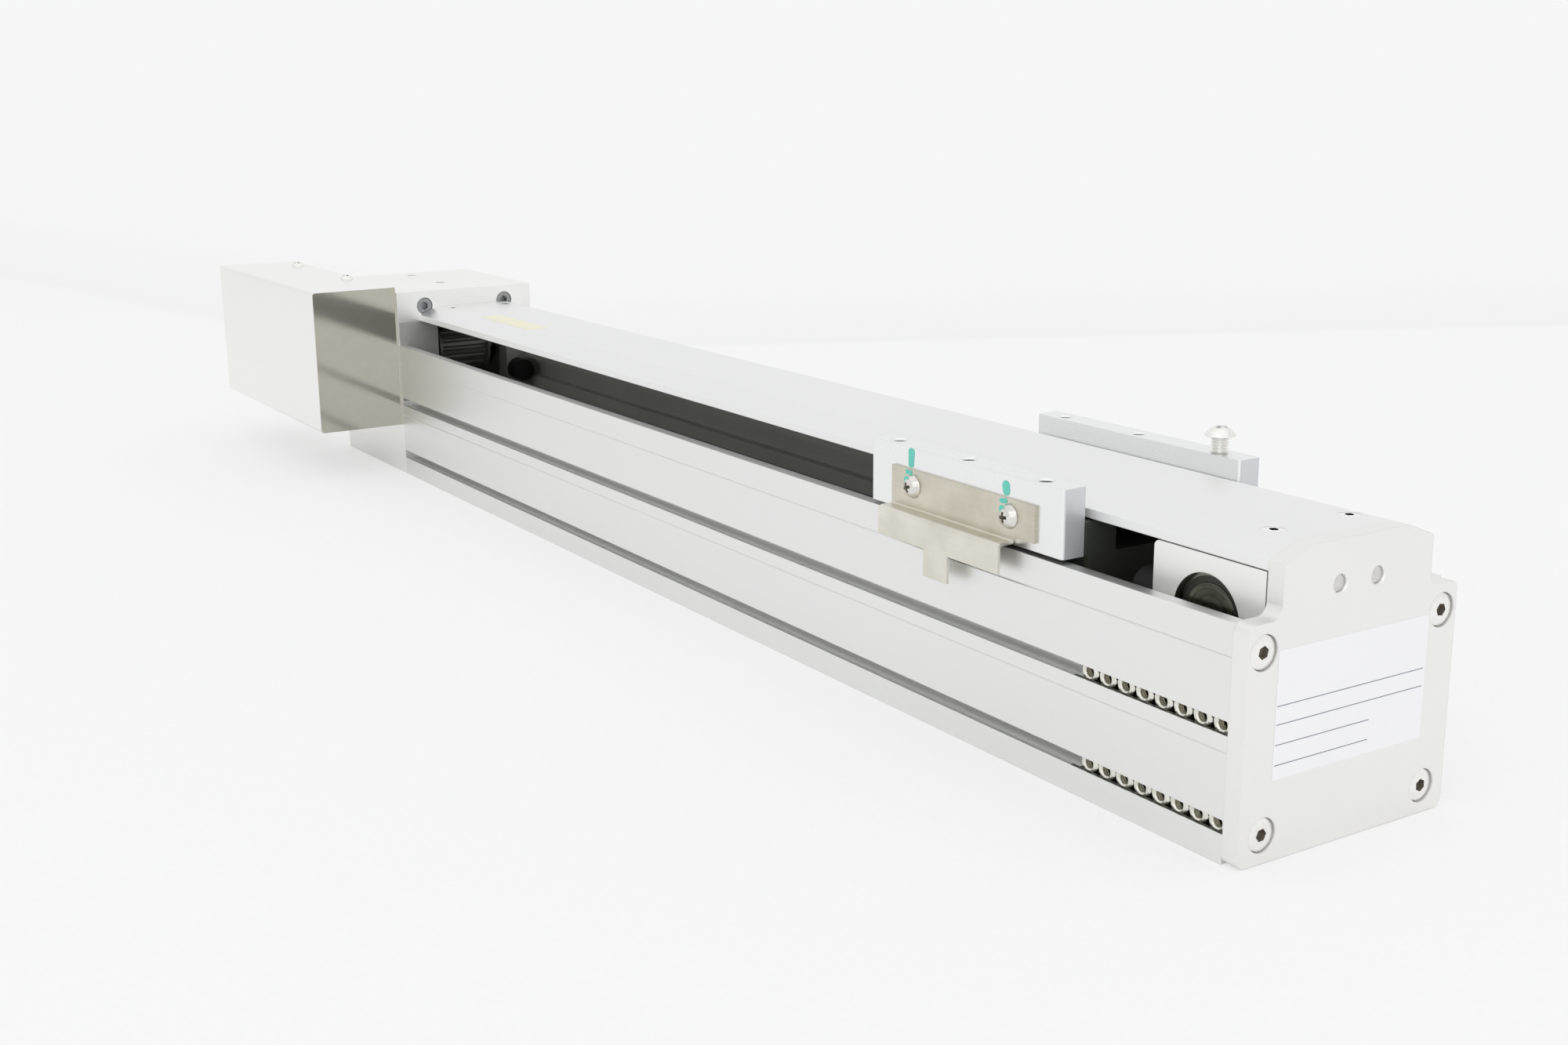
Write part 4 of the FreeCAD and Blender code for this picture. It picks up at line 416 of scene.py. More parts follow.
    RULE = Finish("label_rule_ink", Surface.FILM, (0.30, 0.30, 0.34), (0.22, 0.22, 0.26), 0.0,
                  (0.5, 0.6), 1e-6, 0.0, 300.0)
    STICKER = Finish("pale_yellow_sticker", Surface.FILM, (0.90, 0.875, 0.68), (0.87, 0.84, 0.62), 0.0,
                     (0.35, 0.5), 1.5e-6, 0.0, 40.0)
    PAINT = Finish("teal_paint_mark", Surface.MOULDED, (0.115, 0.60, 0.48), (0.16, 0.66, 0.55), 0.0,
                   (0.30, 0.45), 2e-5, 0.0, 400.0)

    def __init__(self) -> None:
        """Starts with no material built."""
        self._made: dict[str, bpy.types.Material] = {}

    def get(self, finish: Finish) -> bpy.types.Material:
        """Gives a finish's material, and builds it the first time.

        Args:
            finish: The finish.

        Returns:
            Its material.
        """
        if finish.name not in self._made:
            self._made[finish.name] = finish.build()
        return self._made[finish.name]

    def dress(self, piece: bpy.types.Object, *finishes: Finish) -> None:
        """Puts one finish on the whole piece, or the second one on its shaded faces.

        Args:
            piece: The piece.
            *finishes: The main finish, and the one of the shaded faces.
        """
        if piece.data.materials:
            piece.data.materials.clear()
        for finish in finishes:
            piece.data.materials.append(self.get(finish))


# Shapes


class Axis(Enum):
    """The direction in which a turned shape's own +Z points."""

    PLUS_X = "+X"
    PLUS_Y = "+Y"
    MINUS_Y = "-Y"
    PLUS_Z = "+Z"

    def matrix(self) -> Matrix:
        """Gives the turn that takes +Z to this direction.

        Returns:
            The turn.
        """
        turns = {
            Axis.PLUS_X: Matrix.Rotation(math.pi / 2, 4, "Y"),
            Axis.PLUS_Y: Matrix.Rotation(-math.pi / 2, 4, "X"),
            Axis.MINUS_Y: Matrix.Rotation(math.pi / 2, 4, "X"),
            Axis.PLUS_Z: Matrix.Identity(4),
        }
        return turns[self]


class Shapes:
    """Ways to make meshes that several sub-assemblies share."""

    SIDES = 48

    @staticmethod
    def turned(profile: Profile, sides: int = SIDES, closed: bool = False) -> Mesh:
        """Spins a profile round the Z axis.

        Args:
            profile: Radius and height of each corner, in millimetres.
            sides: The number of steps in a full turn.
            closed: Whether the profile's last corner joins its first.

        Returns:
            A new closed mesh with its normals outwards.
        """
        mesh = bmesh.new()
        corners = [mesh.verts.new((radius * MM, 0.0, height * MM)) for radius, height in profile]
        edges = [mesh.edges.new(pair) for pair in zip(corners, corners[1:])]
        if closed:
            edges.append(mesh.edges.new((corners[-1], corners[0])))
        bmesh.ops.spin(mesh, geom=corners + edges, cent=(0, 0, 0), axis=(0, 0, 1), angle=math.tau,
                       steps=sides, use_merge=True, use_duplicate=False)
        bmesh.ops.remove_doubles(mesh, verts=mesh.verts, dist=CLOSE)
        bmesh.ops.recalc_face_normals(mesh, faces=mesh.faces)
        return mesh

    @staticmethod
    def slice_flats(mesh: Mesh, distance: float, count: int = 6) -> None:
        """Cuts equal flats round a turned shape.

        Args:
            mesh: The shape, round the Z axis.
            distance: From the axis to each flat, in millimetres.
            count: The number of flats.
        """
        for index in range(count):
            angle = math.tau * (index + 0.5) / count
            normal = Vector((math.cos(angle), math.sin(angle), 0.0))
            geometry = list(mesh.verts) + list(mesh.edges) + list(mesh.faces)
            result = bmesh.ops.bisect_plane(mesh, geom=geometry, plane_co=normal * distance * MM,
                                            plane_no=normal, clear_outer=True)
            rim = [item for item in result["geom_cut"] if isinstance(item, bmesh.types.BMEdge)]
            bmesh.ops.edgeloop_fill(mesh, edges=rim)
        bmesh.ops.recalc_face_normals(mesh, faces=mesh.faces)

    @staticmethod
    def socket_top(mesh: Mesh, radius: float, height: float, across: float, depth: float,
                   sides: int = SIDES) -> None:
        """Closes a turned head's open top with a ring and a hexagonal socket.

        Args:
            mesh: The head, open inside the given radius.
            radius: The opening's radius in millimetres.
            height: The top's height in millimetres.
            across: The socket's width across its flats.
            depth: The socket's depth.
            sides: The number of corners of the opening.
        """
        lift = Matrix.Translation((0, 0, height * MM))
        corner = across / 2 / math.cos(math.pi / 6) * MM
        made = bmesh.ops.create_circle(mesh, cap_ends=False, radius=corner, segments=6, matrix=lift)
        hexagon = list({edge for vert in made["verts"] for edge in vert.link_edges})
        bmesh.ops.subdivide_edges(mesh, edges=hexagon, cuts=sides // 6 - 1)
        inner = [edge for edge in mesh.edges if edge.is_wire]
        outer = [edge for edge in mesh.edges if edge.is_boundary
                 and all(abs(vert.co.to_2d().length - radius * MM) < CLOSE for vert in edge.verts)
                 and all(abs(vert.co.z - height * MM) < CLOSE for vert in edge.verts)]
        bmesh.ops.bridge_loops(mesh, edges=inner + outer)
        plain = set(mesh.faces)
        walls = bmesh.ops.extrude_edge_only(mesh, edges=inner)
        lowered = [item for item in walls["geom"] if isinstance(item, bmesh.types.BMVert)]
        bmesh.ops.translate(mesh, verts=lowered, vec=(0, 0, -depth * MM))
        floor = [item for item in walls["geom"] if isinstance(item, bmesh.types.BMEdge) and item.is_boundary]
        bmesh.ops.edgeloop_fill(mesh, edges=floor)
        for face in mesh.faces:
            face.material_index = 0 if face in plain else SHADED
        bmesh.ops.recalc_face_normals(mesh, faces=mesh.faces)

    @staticmethod
    def placed(mesh: Mesh, axis: Axis, at: Sequence[float], turn: float = 0.0) -> Mesh:
        """Turns a shape about its own axis, points it along an axis and moves it.

        Args:
            mesh: The shape.
            axis: Where its own +Z points to.
            at: Where its own zero goes, in millimetres.
            turn: Its turn about its own axis, in radians.

        Returns:
            The same shape.
        """
        spin = Matrix.Rotation(turn, 4, "Z")
        move = Matrix.Translation(Vector(at) * MM)
        bmesh.ops.transform(mesh, matrix=move @ axis.matrix() @ spin, verts=mesh.verts)
        return mesh

    @staticmethod
    def gather(meshes: Iterable[Mesh]) -> Mesh:
        """Joins several shapes into one mesh.

        Args:
            meshes: The shapes, which are freed.

        Returns:
            The new mesh.
        """
        whole = bmesh.new()
        for mesh in meshes:
            copy = bpy.data.meshes.new("copy")
            mesh.to_mesh(copy)
            mesh.free()
            whole.from_mesh(copy)
            bpy.data.meshes.remove(copy)
        return whole

    @staticmethod
    def piece(name: str, mesh: Mesh, smooth: float = 35.0) -> bpy.types.Object:
        """Makes an object from a shape, smooth below an angle.

        Args:
            name: The piece's name.
            mesh: The shape, which is freed.
            smooth: Edges sharper than this angle, in degrees, stay sharp.

        Returns:
            The new object at the origin.
        """
        for face in mesh.faces:
            face.smooth = True
        for edge in mesh.edges:
            if len(edge.link_faces) == 2:
                edge.smooth = edge.calc_face_angle(0.0) < math.radians(smooth)
        data = bpy.data.meshes.new(name)
        mesh.to_mesh(data)
        mesh.free()
        item = bpy.data.objects.new(name, data)
        bpy.context.scene.collection.objects.link(item)
        return item

    @staticmethod
    def cut_by(name: str, body: Mesh, tool: Mesh) -> Mesh:
        """Subtracts one closed shape from another.

        Args:
            name: A name for the two helpers.
            body: The shape that stays.
            tool: The shape that is taken away.

        Returns:
            The result as a new mesh.
        """
        base = Shapes.piece(name + "_body", body)
        cutter = Shapes.piece(name + "_tool", tool)
        modifier = base.modifiers.new("cut", "BOOLEAN")
        modifier.operation = "DIFFERENCE"
        modifier.solver = "EXACT"
        modifier.use_self = True
        modifier.object = cutter
        solved = base.evaluated_get(bpy.context.evaluated_depsgraph_get())
        cut = bpy.data.meshes.new_from_object(solved)
        result = bmesh.new()
        result.from_mesh(cut)
        bpy.data.meshes.remove(cut)
        for helper in (base, cutter):
            data = helper.data
            bpy.data.objects.remove(helper)
            bpy.data.meshes.remove(data)
        return result


def thread_profile(core: float, crest: float, low: float, high: float, pitch: float) -> Profile:
    """Draws the zigzag of a thread's section.

    Args:
        core: The radius at the roots.
        crest: The radius at the crests.
        low: The thread's lower end.
        high: The thread's upper end.
        pitch: The distance between two crests.

    Returns:
        Radius and height of each corner, from the lower end up, all in millimetres.
    """
    count = max(1, round((high - low) / pitch))
    step = (high - low) / count
    corners = []
    for index in range(count):
        start = low + step * index
        for radius, share in ((core, 0.1), (crest, 0.5), (core, 0.9)):
            corners.append((radius, start + share * step))
    return corners


def add(piece: bpy.types.Object, body: str, slot: str, *nodes: str) -> bpy.types.Object:
    """Lets a piece ride on a body, hides the nodes that it stands for, and reports it.

    Args:
        piece: The finished piece.
        body: The body that carries it.
        slot: The record's material slot; not used.
        *nodes: The nodes that it replaces.

    Returns:
        The same piece.
    """
    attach(piece, body)
    if nodes:
        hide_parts(*nodes)
    LOG.info("%s rides on %s with %d faces", piece.name, body, len(piece.data.polygons))
    return piece


# Sub-assemblies


@dataclass
class SubAssembly:
    """Pieces of the axis that are made and dressed together.

    Args:
        palette: The finishes.
    """

    DRESSES: ClassVar[tuple[tuple[Finish, str], ...]] = ()

    palette: Palette

    def build(self) -> None:
        """Dresses the nodes that keep their CAD shape."""
        for finish, names in self.DRESSES:
            for name in names.split():
                self.palette.dress(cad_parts[name], finish)

    def dressed(self, name: str, meshes: Iterable[Mesh], *finishes: Finish,
                smooth: float = 35.0) -> bpy.types.Object:
        """Joins shapes into one dressed piece.

        Args:
            name: The piece's name.
            meshes: The shapes, which are freed.
            *finishes: The main finish, and the one of the shaded faces.
            smooth: Edges sharper than this angle, in degrees, stay sharp.

        Returns:
            The new object at the origin.
        """
        piece = Shapes.piece(name, Shapes.gather(meshes), smooth)
        self.palette.dress(piece, *finishes)
        return piece


@dataclass
class BaseFrame(SubAssembly):
    """The profile, the cover and both ends."""

    DRESSES = (
        (Palette.PROFILE, "base_profile"),
        (Palette.COVER, "top_cover"),
        (Palette.PLATE, "drive_housing side_plate"),
        (Palette.END_PLATE, "idler_end_plate"),
        (Palette.DRIVE_PLATE, "drive_end_plate"),
        (Palette.IDLER_BLOCK, "idler_block"),
        (Palette.LABEL, "end_label"),
        (Palette.STICKER, "cover_sticker"),
        (Palette.TENSION, "belt_tension_screws"),
        (Palette.RUBBER, "idler_bumpers drive_bumpers"),
        (Palette.STEEL, "guide_rail"),
        (Palette.BLACK_OXIDE, "rail_screws drive_plate_screws side_plate_screws drive_bearing_circlip"),
        (Palette.DULL_STEEL, "drive_housing_front_screws drive_housing_rear_screws"),
    )


@dataclass
class Drive(SubAssembly):
    """The belts, the pulleys, the bearings and the polished transmission box."""

    DRESSES = (
        (Palette.BEARING, "idler_bearing_outer_rings idler_bearing_inner_rings"),
        (Palette.STEEL, "idler_bearing_balls drive_bearing_outer_rings drive_bearing_inner_rings"),
        (Palette.STEEL, "drive_bearing_balls drive_shaft drive_shaft_key"),
        (Palette.SEAL, "idler_bearing_seals drive_bearing_seals"),
        (Palette.SHAFT, "idler_shaft"),
        (Palette.INNER, "idler_pulley drive_pulley driven_side_pulley motor_pulley"),
        (Palette.BLACK_OXIDE, "driven_side_pulley_set_screw motor_pulley_set_screw"),
        (Palette.BELT, "main_belt side_belt"),
        (Palette.MIRROR, "transmission_cover"),
        (Palette.ZINC, "transmission_cover_screws"),
    )


@dataclass
class EndScrews(SubAssembly):
    """The low-head socket screws of the idler end plate.

    Args:
        head: The head's radius, in millimetres like the other lengths.
        height: The head's height.
        bevel: The width and height of the bevel round the head's top.
        thread: The thread's radius.
        core: The radius at the thread's roots.
        pitch: The thread's pitch.
        thread_end: How far below the head the thread ends.
        neck: How far below the head the plain neck starts.
        length: The shank's length.
        hexagon: The socket's width across its flats.
        socket: The socket's depth.
        lower_inset: How much nearer to the middle the lower screws are than the upper ones.
        turns: Each screw's turn about its own axis, in radians.
    """

    head: float = 5.0
    height: float = 4.0
    bevel: tuple[float, float] = (1.6, 0.5)
    thread: float = 3.0
    core: float = 2.45
    pitch: float = 1.0
    thread_end: float = 1.0
    neck: float = 0.8
    length: float = 16.0
    hexagon: float = 3.5
    socket: float = 2.0
    lower_inset: float = 3.1
    turns: tuple[float, ...] = (0.3, 0.9, 0.1, 0.6)

    def build(self) -> None:
        """Makes the four screws in place of their node."""
        low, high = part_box("idler_end_screws")
        seat = high.x / MM - self.height
        left, right = low.y / MM + self.head, high.y / MM - self.head
        bottom, top = low.z / MM + self.head, high.z / MM - self.head
        places = ((left, top), (right, top),
                  (left + self.lower_inset, bottom), (right - self.lower_inset, bottom))
        opening = self.hexagon * SOCKET_OPENING
        screws = []
        for (y, z), turn in zip(places, self.turns):
            profile = [(0.0, -self.length)]
            profile += thread_profile(self.core, self.thread, -self.length, -self.thread_end, self.pitch)
            profile += [(self.thread, -self.neck), (self.thread, 0.0), (self.head, 0.0)]
            profile += [(self.head, self.height - self.bevel[1]), (self.head - self.bevel[0], self.height)]
            profile += [(opening, self.height)]
            screw = Shapes.turned(profile)
            Shapes.socket_top(screw, opening, self.height, self.hexagon, self.socket)
            screws.append(Shapes.placed(screw, Axis.PLUS_X, (seat, y, z), turn))
        piece = self.dressed("end_plate_screws", screws, Palette.ZINC, Palette.SOCKET)
        add(piece, FRAME_BODY, "screw_steel", "idler_end_screws")


@dataclass
class CoverScrews(SubAssembly):
    """The countersunk screws of the top cover, a little below its face.

    Args:
        head: The CAD head's radius, in millimetres like the other lengths.
        sunk: How far the head lies below the cover's face.
        gap: The gap between the head and its countersink.
        band: How far down from the head's top its straight rim reaches.
        bevel: The width and height of the bevel round the head's top.
        cone: How far below the cover's face the head ends.
        thread: The thread's radius.
        core: The radius at the thread's roots.
        pitch: The thread's pitch.
        thread_end: How far below the head the thread ends.
        neck: How far below the head the plain neck starts.
        hexagon: The socket's width across its flats.
        socket: The socket's depth.
        turn: Each screw's turn about its own axis, in radians.
    """

    head: float = 3.8
    sunk: float = 0.16
    gap: float = 0.3
    band: float = 0.3
    bevel: tuple[float, float] = (0.15, 0.1)
    cone: float = 2.2
    thread: float = 2.0
    core: float = 1.65
    pitch: float = 0.7
    thread_end: float = 0.4
    neck: float = 0.2
    hexagon: float = 2.5
    socket: float = 1.3
    turn: float = 0.5

    def build(self) -> None:
        """Makes the four screws in place of their node."""
        low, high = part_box("cover_screws")
        length = (high.z - low.z) / MM
        rim = self.head - self.gap
        opening = self.hexagon * SOCKET_OPENING
        screws = []
        for x in (low.x / MM + self.head, high.x / MM - self.head):
            for y in (low.y / MM + self.head, high.y / MM - self.head):
                profile = [(0.0, -length)]
                profile += thread_profile(self.core, self.thread, -length, -self.cone - self.thread_end,
                                          self.pitch)
                profile += [(self.thread, -self.cone - self.neck), (self.thread, -self.cone)]
                profile += [(rim, -self.sunk - self.band), (rim, -self.sunk - self.bevel[1])]
                profile += [(rim - self.bevel[0], -self.sunk), (opening, -self.sunk)]
                screw = Shapes.turned(profile)
                Shapes.socket_top(screw, opening, -self.sunk, self.hexagon, self.socket)
                screws.append(Shapes.placed(screw, Axis.PLUS_Z, (x, y, high.z / MM), self.turn))
        piece = self.dressed("flat_cover_screws", screws, Palette.COVER_SCREW, Palette.SOCKET)
        add(piece, FRAME_BODY, "screw_steel", "cover_screws")


@dataclass
class SlotNuts(SubAssembly):
    """The rows of hexagonal nuts in the side slots.

    Args:
        flats: From the axis to each flat, in millimetres like the other lengths.
        corner: The radius of the rounded corners.
        face: The flat face's outer radius.
        slope: The height of the bevel on the corners.
        mouth: The radius of the hole's mouth.
        mouth_depth: The depth of the mouth's cone.
        thread: The radius at the thread's roots.
        core: The radius at the thread's crests.
        thread_start: How deep the thread starts.
        thread_pitch: The thread's pitch.
        sides: The number of steps round the nut.
        margin: How far inside the mouth a face has to lie to be shaded.
        count: The number of nuts in a row.
        pitches: The distance between two nuts in the lower and the upper row.
        wobble: How the nuts' small turns vary along a row, and their size in radians.
    """

    flats: float = 3.5
    corner: float = 3.775
    face: float = 2.9
    slope: float = 0.55
    mouth: float = 2.2
    mouth_depth: float = 0.45
    thread: float = 2.0
    core: float = 1.65
    thread_start: float = 0.5
    thread_pitch: float = 0.7
    sides: int = 36
    margin: float = 0.01
    count: int = 8
    pitches: tuple[float, float] = (7.65, 7.8)
    wobble: tuple[float, float] = (2.4, 0.04)

    def nut(self, height: float) -> Mesh:
        """Makes one chamfered hexagonal nut with its thread, along Z from its outer face.

        Args:
            height: The nut's height.

        Returns:
            A new closed mesh.
        """
        profile = [(self.mouth, 0.0), (self.face, 0.0), (self.corner, -self.slope),
                   (self.corner, self.slope - height), (self.face, -height), (self.mouth, -height),
                   (self.core, self.mouth_depth - height)]
        profile += thread_profile(self.thread, self.core, self.thread_start - height, -self.thread_start,
                                  self.thread_pitch)
        profile += [(self.core, -self.mouth_depth)]
        nut = Shapes.turned(profile, self.sides, True)
        for face in nut.faces:
            if all(vert.co.to_2d().length < (self.mouth - self.margin) * MM for vert in face.verts):
                face.material_index = SHADED
        Shapes.slice_flats(nut, self.flats)
        return nut

    def build(self) -> None:
        """Makes both sides' nuts in place of their nodes."""
        for side, axis in (("left", Axis.MINUS_Y), ("right", Axis.PLUS_Y)):
            node = f"slot_nuts_{side}"
            low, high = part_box(node)
            height = (high.y - low.y) / MM
            face = low.y / MM if axis is Axis.MINUS_Y else high.y / MM
            first = high.x / MM - self.corner
            rows = (low.z / MM + self.flats, high.z / MM - self.flats)
            nuts = []
            for z, pitch in zip(rows, self.pitches):
                for index in range(self.count):
                    turn = math.pi / 3 + math.sin(index * self.wobble[0] + z) * self.wobble[1]
                    place = (first - pitch * index, face, z)
                    nuts.append(Shapes.placed(self.nut(height), axis, place, turn))
            piece = self.dressed(f"nuts_{side}", nuts, Palette.NUT, Palette.THREAD, smooth=25.0)
            add(piece, FRAME_BODY, "nut_zinc", node)


@dataclass
class EndLabel(SubAssembly):
    """The ruled lines of the bare label.

    Args:
        lift: How far the lines stand out, in millimetres like the other lengths.
        weight: The lines' width.
        inset: From the label's edge to each line's start.
        rules: Each line's level, as a share of the label's height, and its length.
    """

    lift: float = 0.02
    weight: float = 0.28
    inset: float = 0.4
    rules: tuple[tuple[float, float], ...] = ((0.573, 60.0), (0.429, 60.0), (0.271, 37.9), (0.112, 37.9))

    def build(self) -> None:
        """Rules four thin lines on the label."""
        low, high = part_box("end_label")
        x, left, bottom = high.x / MM + self.lift, low.y / MM + self.inset, low.z / MM
        height = (high.z - low.z) / MM
        lines = []
        for level, length in self.rules:
            strip = bmesh.new()
            bmesh.ops.create_grid(strip, x_segments=1, y_segments=1, size=0.5)
            bmesh.ops.scale(strip, vec=(self.weight * MM, length * MM, 1.0), verts=strip.verts)
            bmesh.ops.extrude_face_region(strip, geom=list(strip.faces))
            strip.verts.ensure_lookup_table()
            bmesh.ops.translate(strip, verts=strip.verts[:4], vec=(0, 0, -self.lift * MM))
            bmesh.ops.recalc_face_normals(strip, faces=strip.faces)
            place = (x, left + length / 2, bottom + height * level)
            lines.append(Shapes.placed(strip, Axis.PLUS_X, place))
        piece = self.dressed("label_rules", lines, Palette.RULE)
        add(piece, FRAME_BODY, "bare_label")


@dataclass(frozen=True)
class PanScrew:
    """A domed screw with a cross recess, along Z, with its head's underside at zero.

    Args:
        head: The head's radius, in millimetres like the other lengths.
        height: The head's height.
        thread: The thread's radius.
        core: The radius at the thread's roots.
        length: The shank's length.
        pitch: The thread's pitch.
        steps: The number of steps of the dome.
        thread_end: How far below the head the thread ends.
        neck: How far below the head the plain neck starts.
        foot: The width and height of the bevel under the head's rim.
        arm: The corner radius of the recess cutter's arms at their lower and upper end, before
            they are flattened, as shares of the head's radius.
        arm_width: How wide the flattened arms are, as a share of their length.
        recess: The recess cutter's height and middle, as shares of the head's height.
        skin: Faces nearer than this to the dome aren't shaded.
        shade_from: Faces lower than this aren't shaded.
    """

    head: float
    height: float
    thread: float
    core: float
    length: float
    pitch: float
    steps: int = 7
    thread_end: float = 0.6
    neck: float = 0.4
    foot: tuple[float, float] = (0.25, 0.18)
    arm: tuple[float, float] = (0.34, 0.76)
    arm_width: float = 0.30
    recess: tuple[float, float] = (0.9, 0.75)
    skin: float = 0.08
    shade_from: float = 0.3

    def mesh(self) -> Mesh:
        """Turns the screw and cuts its recess.

        Returns:
            A new closed mesh, with the recess as its shaded faces.
        """
        radius = (self.head * self.head + self.height * self.height) / (2 * self.height)
        body = Shapes.turned(self._section(radius))
        arms = []
        for turn in (0.0, math.pi / 2):
            arm = bmesh.new()
            bmesh.ops.create_cone(arm, cap_ends=True, segments=4, radius1=self.head * self.arm[0] * MM,
                                  radius2=self.head * self.arm[1] * MM,
                                  depth=self.height * self.recess[0] * MM,
                                  matrix=Matrix.Rotation(math.pi / 4, 4, "Z"))
            bmesh.ops.scale(arm, vec=(1.0, self.arm_width, 1.0), verts=arm.verts)
            bmesh.ops.translate(arm, verts=arm.verts, vec=(0, 0, self.height * self.recess[1] * MM))
            arms.append(Shapes.placed(arm, Axis.PLUS_Z, (0, 0, 0), turn))
        cut = Shapes.cut_by("recess", body, Shapes.gather(arms))
        middle = Vector((0.0, 0.0, self.height - radius)) * MM
        for face in cut.faces:
            centre = face.calc_center_median()
            deep = (centre - middle).length < (radius - self.skin) * MM
            face.material_index = SHADED if deep and centre.z > self.shade_from * MM else 0
        return cut

    def _section(self, radius: float) -> Profile:
        """Draws half of the screw's section.

        Args:
            radius: The dome's radius.

        Returns:
            Radius and height of each corner, from the tip up.
        """
        sweep = math.asin(min(1.0, self.head / radius))
        section = [(0.0, -self.length)]
        section += thread_profile(self.core, self.thread, -self.length, -self.thread_end, self.pitch)
        section += [(self.thread, -self.neck), (self.thread, 0.0)]
        section += [(self.head - self.foot[0], 0.0), (self.head, self.foot[1])]
        for index in range(1, self.steps):
            angle = sweep * (1 - index / self.steps)
            section.append((radius * math.sin(angle), self.height - radius * (1 - math.cos(angle))))
        return section + [(0.0, self.height)]


@dataclass(frozen=True)
class PaintLine:
    """The broken line of thread-lock paint at one flag screw, in millimetres.

    Args:
        shift: How far the line lies from the screw's middle, along X.
        lean: How far the strokes lean, in radians.
        block: The width and height of the stroke on the block.
        plate: The width and height of the stroke on the flag's plate.
        head: The width and height of the stroke on the screw's head.
    """

    shift: float
    lean: float
    block: tuple[float, float]
    plate: tuple[float, float] = (3.6, 1.6)
    head: tuple[float, float] = (2.2, 2.8)


@dataclass
class Carriage(SubAssembly):
    """The carriage's blocks, flag, screws and paint marks.

    Args:
        flag_screw: The screws of the flag.
        flag_turns: Their turns about their own axes, in radians.
        flag_sheet: The flag's thickness, in millimetres like the other lengths.
        spare: The spare screw.
        spare_turn: Its turn about its own axis, in radians.
        lines: The line of paint at each flag screw.
        stroke_lift: How far the paint stands out.
        stroke_corner: The strokes' corner radius, as a share of their smaller side.
        stroke_wave: The outline's waviness, as a share of the width, its waves and their start.
        stroke_taper: How much narrower a stroke gets along its height, as a share.
        block_gap: From the plate's top edge up to the stroke on the block.
        plate_drop: From the plate's top edge down to the middle of the stroke on it.
        on_head: The head stroke's place: its share of the line's shift, of the head's height
            outwards and of the head's radius upwards.
    """

    DRESSES = (
        (Palette.LOAD_BLOCK, "side_block_left side_block_right"),
        (Palette.TABLE, "carriage_table belt_clamp_seat belt_clamp_plate"),
        (Palette.STEEL, "guide_carriage"),
        (Palette.GUIDE_PLASTIC, "guide_end_caps"),
        (Palette.SEAL, "guide_end_seals"),
        (Palette.BLACK_OXIDE, "side_block_screws guide_carriage_screws belt_clamp_screws"),
        (Palette.FLAG, "sensor_flag"),
    )

    flag_screw: PanScrew = PanScrew(4.0, 3.1, 2.0, 1.65, 8.9, 0.7)
    flag_turns: tuple[float, float] = (0.35, 0.1)
    flag_sheet: float = 1.0
    spare: PanScrew = PanScrew(5.25, 3.3, 3.0, 2.45, 17.4, 1.0, steps=16)
    spare_turn: float = 0.4
    lines: tuple[PaintLine, PaintLine] = (PaintLine(-2.3, -0.05, (3.0, 6.6)),
                                          PaintLine(-2.9, 0.12, (3.4, 4.8)))
    stroke_lift: float = 0.12
    stroke_corner: float = 0.4
    stroke_wave: tuple[float, float, float] = (0.12, 6.0, 9.0)
    stroke_taper: float = 0.10
    block_gap: float = 0.4
    plate_drop: float = 1.1
    on_head: tuple[float, float, float] = (0.5, 0.62, 0.55)

    def build(self) -> None:
        """Dresses the carriage and makes its fasteners and paint."""
        super().build()
        self._flag_screws()
        self._spare_screw()
        self._paint_marks()

    def _flag_places(self) -> list[Place]:
        """Finds where the two flag screws' heads sit.

        Returns:
            The middle of each head's underside.
        """
        low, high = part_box("sensor_flag_screws")
        z = (low.z + high.z) / 2 / MM
        seat = low.y / MM + self.flag_screw.height
        return [(low.x / MM + self.flag_screw.head, seat, z), (high.x / MM - self.flag_screw.head, seat, z)]

    def _flag_screws(self) -> None:
        """Makes the two cross-recess screws of the flag."""
        screws = [Shapes.placed(self.flag_screw.mesh(), Axis.MINUS_Y, place, turn)
                  for place, turn in zip(self._flag_places(), self.flag_turns)]
        piece = self.dressed("flag_screws", screws, Palette.HEAD, Palette.SOCKET, smooth=30.0)
        add(piece, CARRIAGE, "screw_steel", "sensor_flag_screws")

    def _spare_screw(self) -> None:
        """Makes the spare screw that stands in a load hole."""
        low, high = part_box("spare_screw")
        place = ((low.x + high.x) / 2 / MM, (low.y + high.y) / 2 / MM, high.z / MM - self.spare.height)
        screw = Shapes.placed(self.spare.mesh(), Axis.PLUS_Z, place, self.spare_turn)
        piece = self.dressed("spare_pan_screw", [screw], Palette.ZINC, Palette.TENSION, smooth=30.0)
        add(piece, CARRIAGE, "screw_steel", "spare_screw")

    def _stroke(self, place: Place, size: tuple[float, float], lean: float) -> Mesh:
        """Makes a flat stroke of paint, with round corners and a wavy outline, that looks towards -Y.

        Args:
            place: The stroke's middle.
            size: Its width and height.
            lean: How far it leans, in radians.

        Returns:
            A new closed mesh.
        """
        width, height = size
        stroke = bmesh.new()
        bmesh.ops.create_cube(stroke, size=1.0)
        bmesh.ops.scale(stroke, vec=(width * MM, height * MM, self.stroke_lift * 2 * MM), verts=stroke.verts)
        upright = [edge for edge in stroke.edges if abs(edge.verts[0].co.z - edge.verts[1].co.z) > CLOSE]
        bmesh.ops.bevel(stroke, geom=upright, offset=min(size) * self.stroke_corner * MM, segments=5,
                        profile=0.5, affect="EDGES", material=-1)
        depth, waves, start = self.stroke_wave
        for vert in stroke.verts:
            along = vert.co.y / (height * MM)
            vert.co.x *= 1.0 + depth * math.sin(along * waves + lean * start) - self.stroke_taper * along
        return Shapes.placed(stroke, Axis.MINUS_Y, place, lean)

